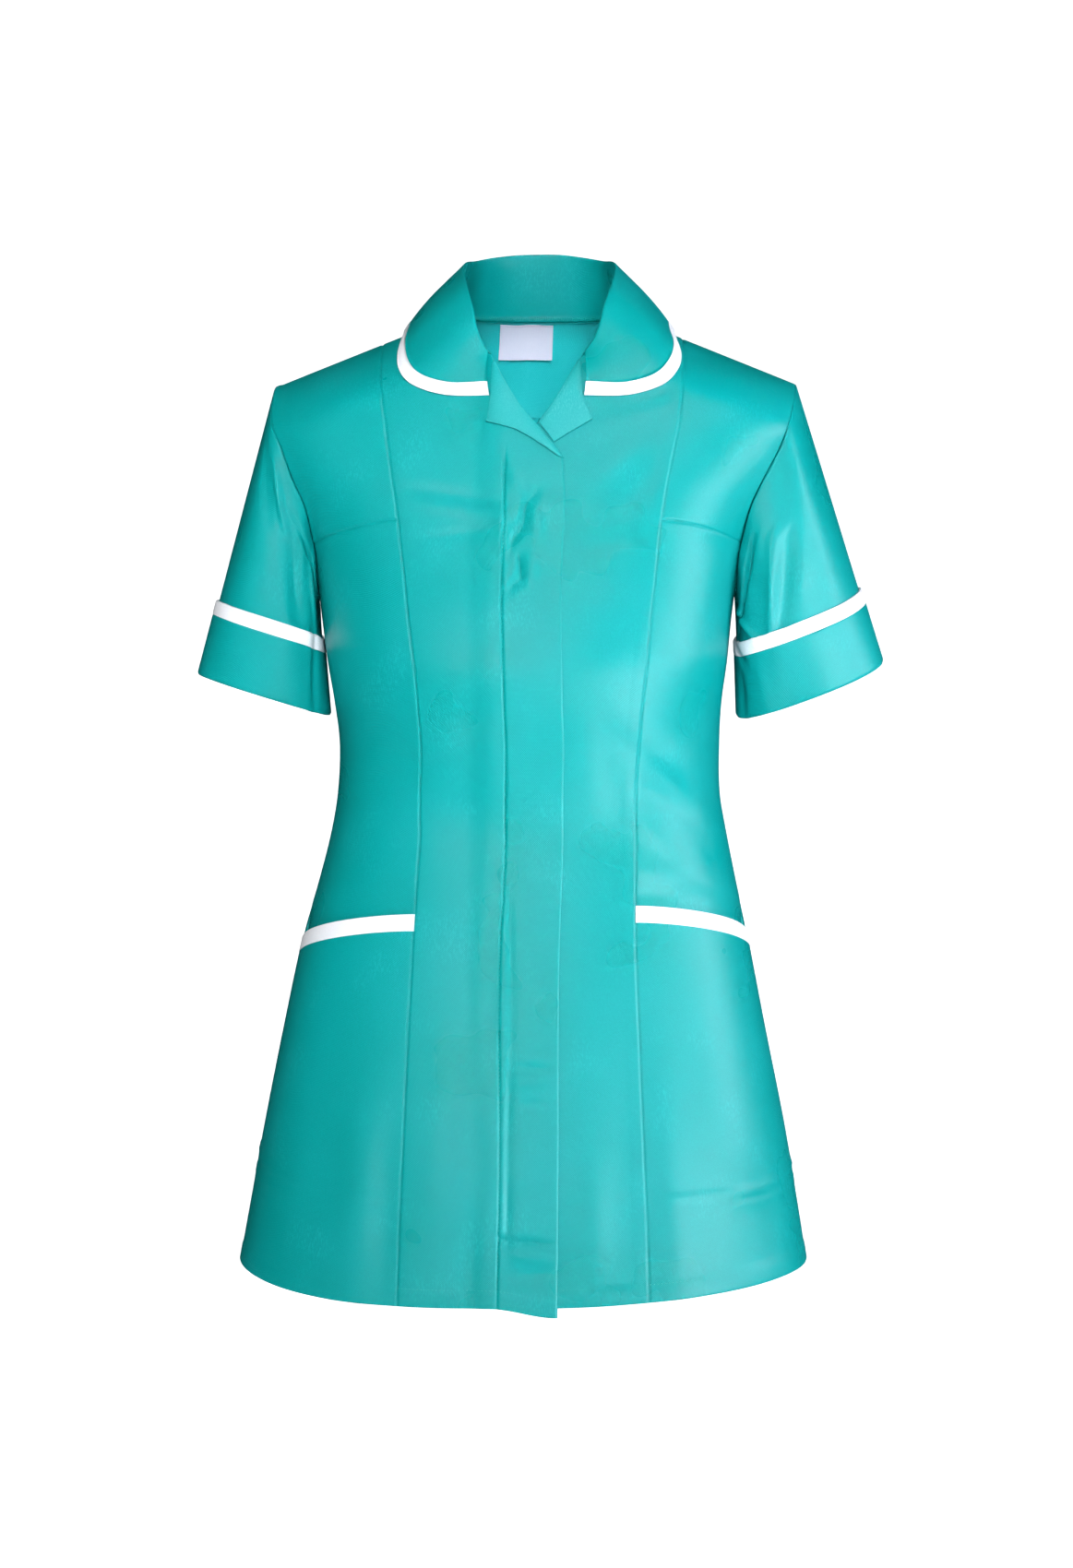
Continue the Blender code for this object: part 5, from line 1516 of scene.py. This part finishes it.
def armhole_loop(side, sign):
    """The sleeve's first row, on the armhole seam."""
    column = 1 if side == "right" else 2
    tip = sign * read_table(ARMHOLES, np.array(ARMHOLE_TOP), column)
    top = crest(tip + section(np.array(ARMHOLE_TOP), "centre"))
    middle, half = (top - UNDERARM) / 2, (top + UNDERARM) / 2
    z = middle + half * np.cos(turns)
    angle = sign * armhole_angle(z, side)
    in_front = (turns < math.pi)[:, None]
    seam = np.where(in_front, body_point(angle, z, FRONT), body_point(angle, z, BACK))
    out = np.zeros_like(seam)
    out[:, 0] = sign
    low = np.maximum(0.0, -np.cos(turns))[:, None] ** 4
    return seam + out * (SEAM_ROOM + UNDERARM_ROOM * low)


def hem_loop(hem, sign):
    """The sleeve's open end, a rounded oval that tilts and hangs lower in front."""
    _, middle, drop, across, deep, tilt, front_fall, behind = hem
    out, forth = np.cos(turns), np.sin(turns)
    out = np.copysign(np.abs(out) ** (2 / SLEEVE_ROUNDNESS), out)
    forth = np.copysign(np.abs(forth) ** (2 / SLEEVE_ROUNDNESS), forth)
    x = middle + sign * across * math.cos(tilt) * out
    z = -drop + across * math.sin(tilt) * out - front_fall * np.maximum(forth, 0)
    return np.stack((x, behind - deep * forth, z), axis=-1)


def sleeve_points(hem, sign, loop, down, out, share):
    """Points round a sleeve at places down it, moved out by a layer and by a share of the
    folds."""
    end = hem_loop(hem, sign)
    middle = (end[0] + end[SLEEVE_LINES // 2]) / 2
    point = loop + (end - loop) * down[:, None]
    point[:, 1] -= SLEEVE_PUFF * np.sin(math.pi * down**PUFF_PLACE) * np.sin(turns)
    away = unit((end - middle) * (1, 1, 0))
    rise = np.zeros(SLEEVE_LINES)
    here = np.stack((turns * SLEEVE_RADIUS, down * SLEEVE_LENGTH), axis=-1)
    for side, *ends, half_width, height in SLEEVE_FOLDS:
        if side == hem[0]:
            ends = np.array(ends).reshape(2, 2) * (SLEEVE_RADIUS, SLEEVE_LENGTH)
            stroke = ends[1] - ends[0]
            along = np.clip((here - ends[0]) @ stroke / (stroke @ stroke), 0.0, 1.0)
            apart = np.linalg.norm(here - ends[0] - along[:, None] * stroke, axis=-1)
            fade = FOLD_ENDS + (1 - FOLD_ENDS) * np.sin(math.pi * along)
            rise += height * fade * np.exp(-((apart / half_width) ** 2))
    point = point + away * (out + rise * share)[:, None]
    # where the body would show through below the underarm, the sleeve is moved off it
    z = point[:, 2]
    lacking = np.clip((-UNDERARM + UNDERARM_ROOM - z) / CLEAR_OVER, 0.0, 1.0)
    least = (SLEEVE_CLEAR - out) * lacking
    depth = np.where(point[:, 1] > 0, full_depth(z, BACK), full_depth(z, FRONT))
    reach = section(-z, "half_width") * roundness_share(np.minimum(np.abs(point[:, 1]) / depth, 1))
    limit = section(-z, "centre") + sign * (reach + least)
    hidden = (point[:, 0] * sign < limit * sign) & (lacking > 0)
    point[:, 0] = np.where(hidden, limit, point[:, 0])
    return point


def tube(name, grid, edges, made_of=teal):
    """A closed wall round a sleeve."""
    up = grid_normals(grid, closed=True)
    dip = seam_dips(grid, edges)
    made = shell(name, grid - up * dip[..., None], up, made_of, closed=True)
    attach(made, "root")
    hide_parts(name.replace("cloth_", ""))


# A sleeve's rows as shares of the way from the armhole to the cuff, the heights of those
# behind the cuff, and the share over which the folds set in
SLEEVE_ROWS = (0.006, 0.013, 0.022, 0.035, *np.linspace(0.055, 1, 46))
TURNED_ROWS = np.linspace(CUFF_DEPTH, 0.001, 6)
FOLDS_SET_IN = 0.07
# Columns: name, its rows' heights over the hem, lift over the sleeve, pressed edges, cut, slot
# and material
BANDS = (
    (
        "cuff_trim_",
        CUFF_DEPTH + TRIM_WIDTH * (1 - spread(TRIM_WIDTH, step=0.0016)),
        BAND_LIFT + TRIM_RISE,
        (("top", 0.0008, 0.0007), ("bottom", 0.0002, 0.0004)),
        (0.340, 0.0115),
        "white_trim",
        white,
    ),
    (
        "cuff_",
        CUFF_DEPTH * (1 - spread(CUFF_DEPTH, step=0.003)),
        BAND_LIFT,
        (("top", 0.0004, 0.0006), ("bottom", 0.0010, 0.0010)),
        (0.330, 0.0456),
        "teal_cloth",
        teal,
    ),
)
for hem in SLEEVE_HEMS:
    side = hem[0]
    sign = -1 if side == "right" else 1
    loop = armhole_loop(side, sign)
    length = np.linalg.norm(hem_loop(hem, sign) - loop, axis=-1)
    band = 1 - (CUFF_DEPTH + TRIM_WIDTH) / length
    rows = [loop]
    for place in SLEEVE_ROWS:
        share = float(smooth_step(0.0, FOLDS_SET_IN, place))
        rows.append(sleeve_points(hem, sign, loop, place * band, 0.0, share))
    for above in TURNED_ROWS:
        rows.append(sleeve_points(hem, sign, loop, 1 - above / length, 0.0, CUFF_FOLDS))
    tube(
        "cloth_sleeve_" + side,
        np.array(rows),
        (("top", 0.0005, 0.0006),),
    )
    for name, heights, lift, edges, cut, slot, made_of in BANDS:
        rows = [
            sleeve_points(hem, sign, loop, 1 - above / length, lift, CUFF_FOLDS)
            for above in heights
        ]
        tube("cloth_" + name + side, np.array(rows), edges, made_of)
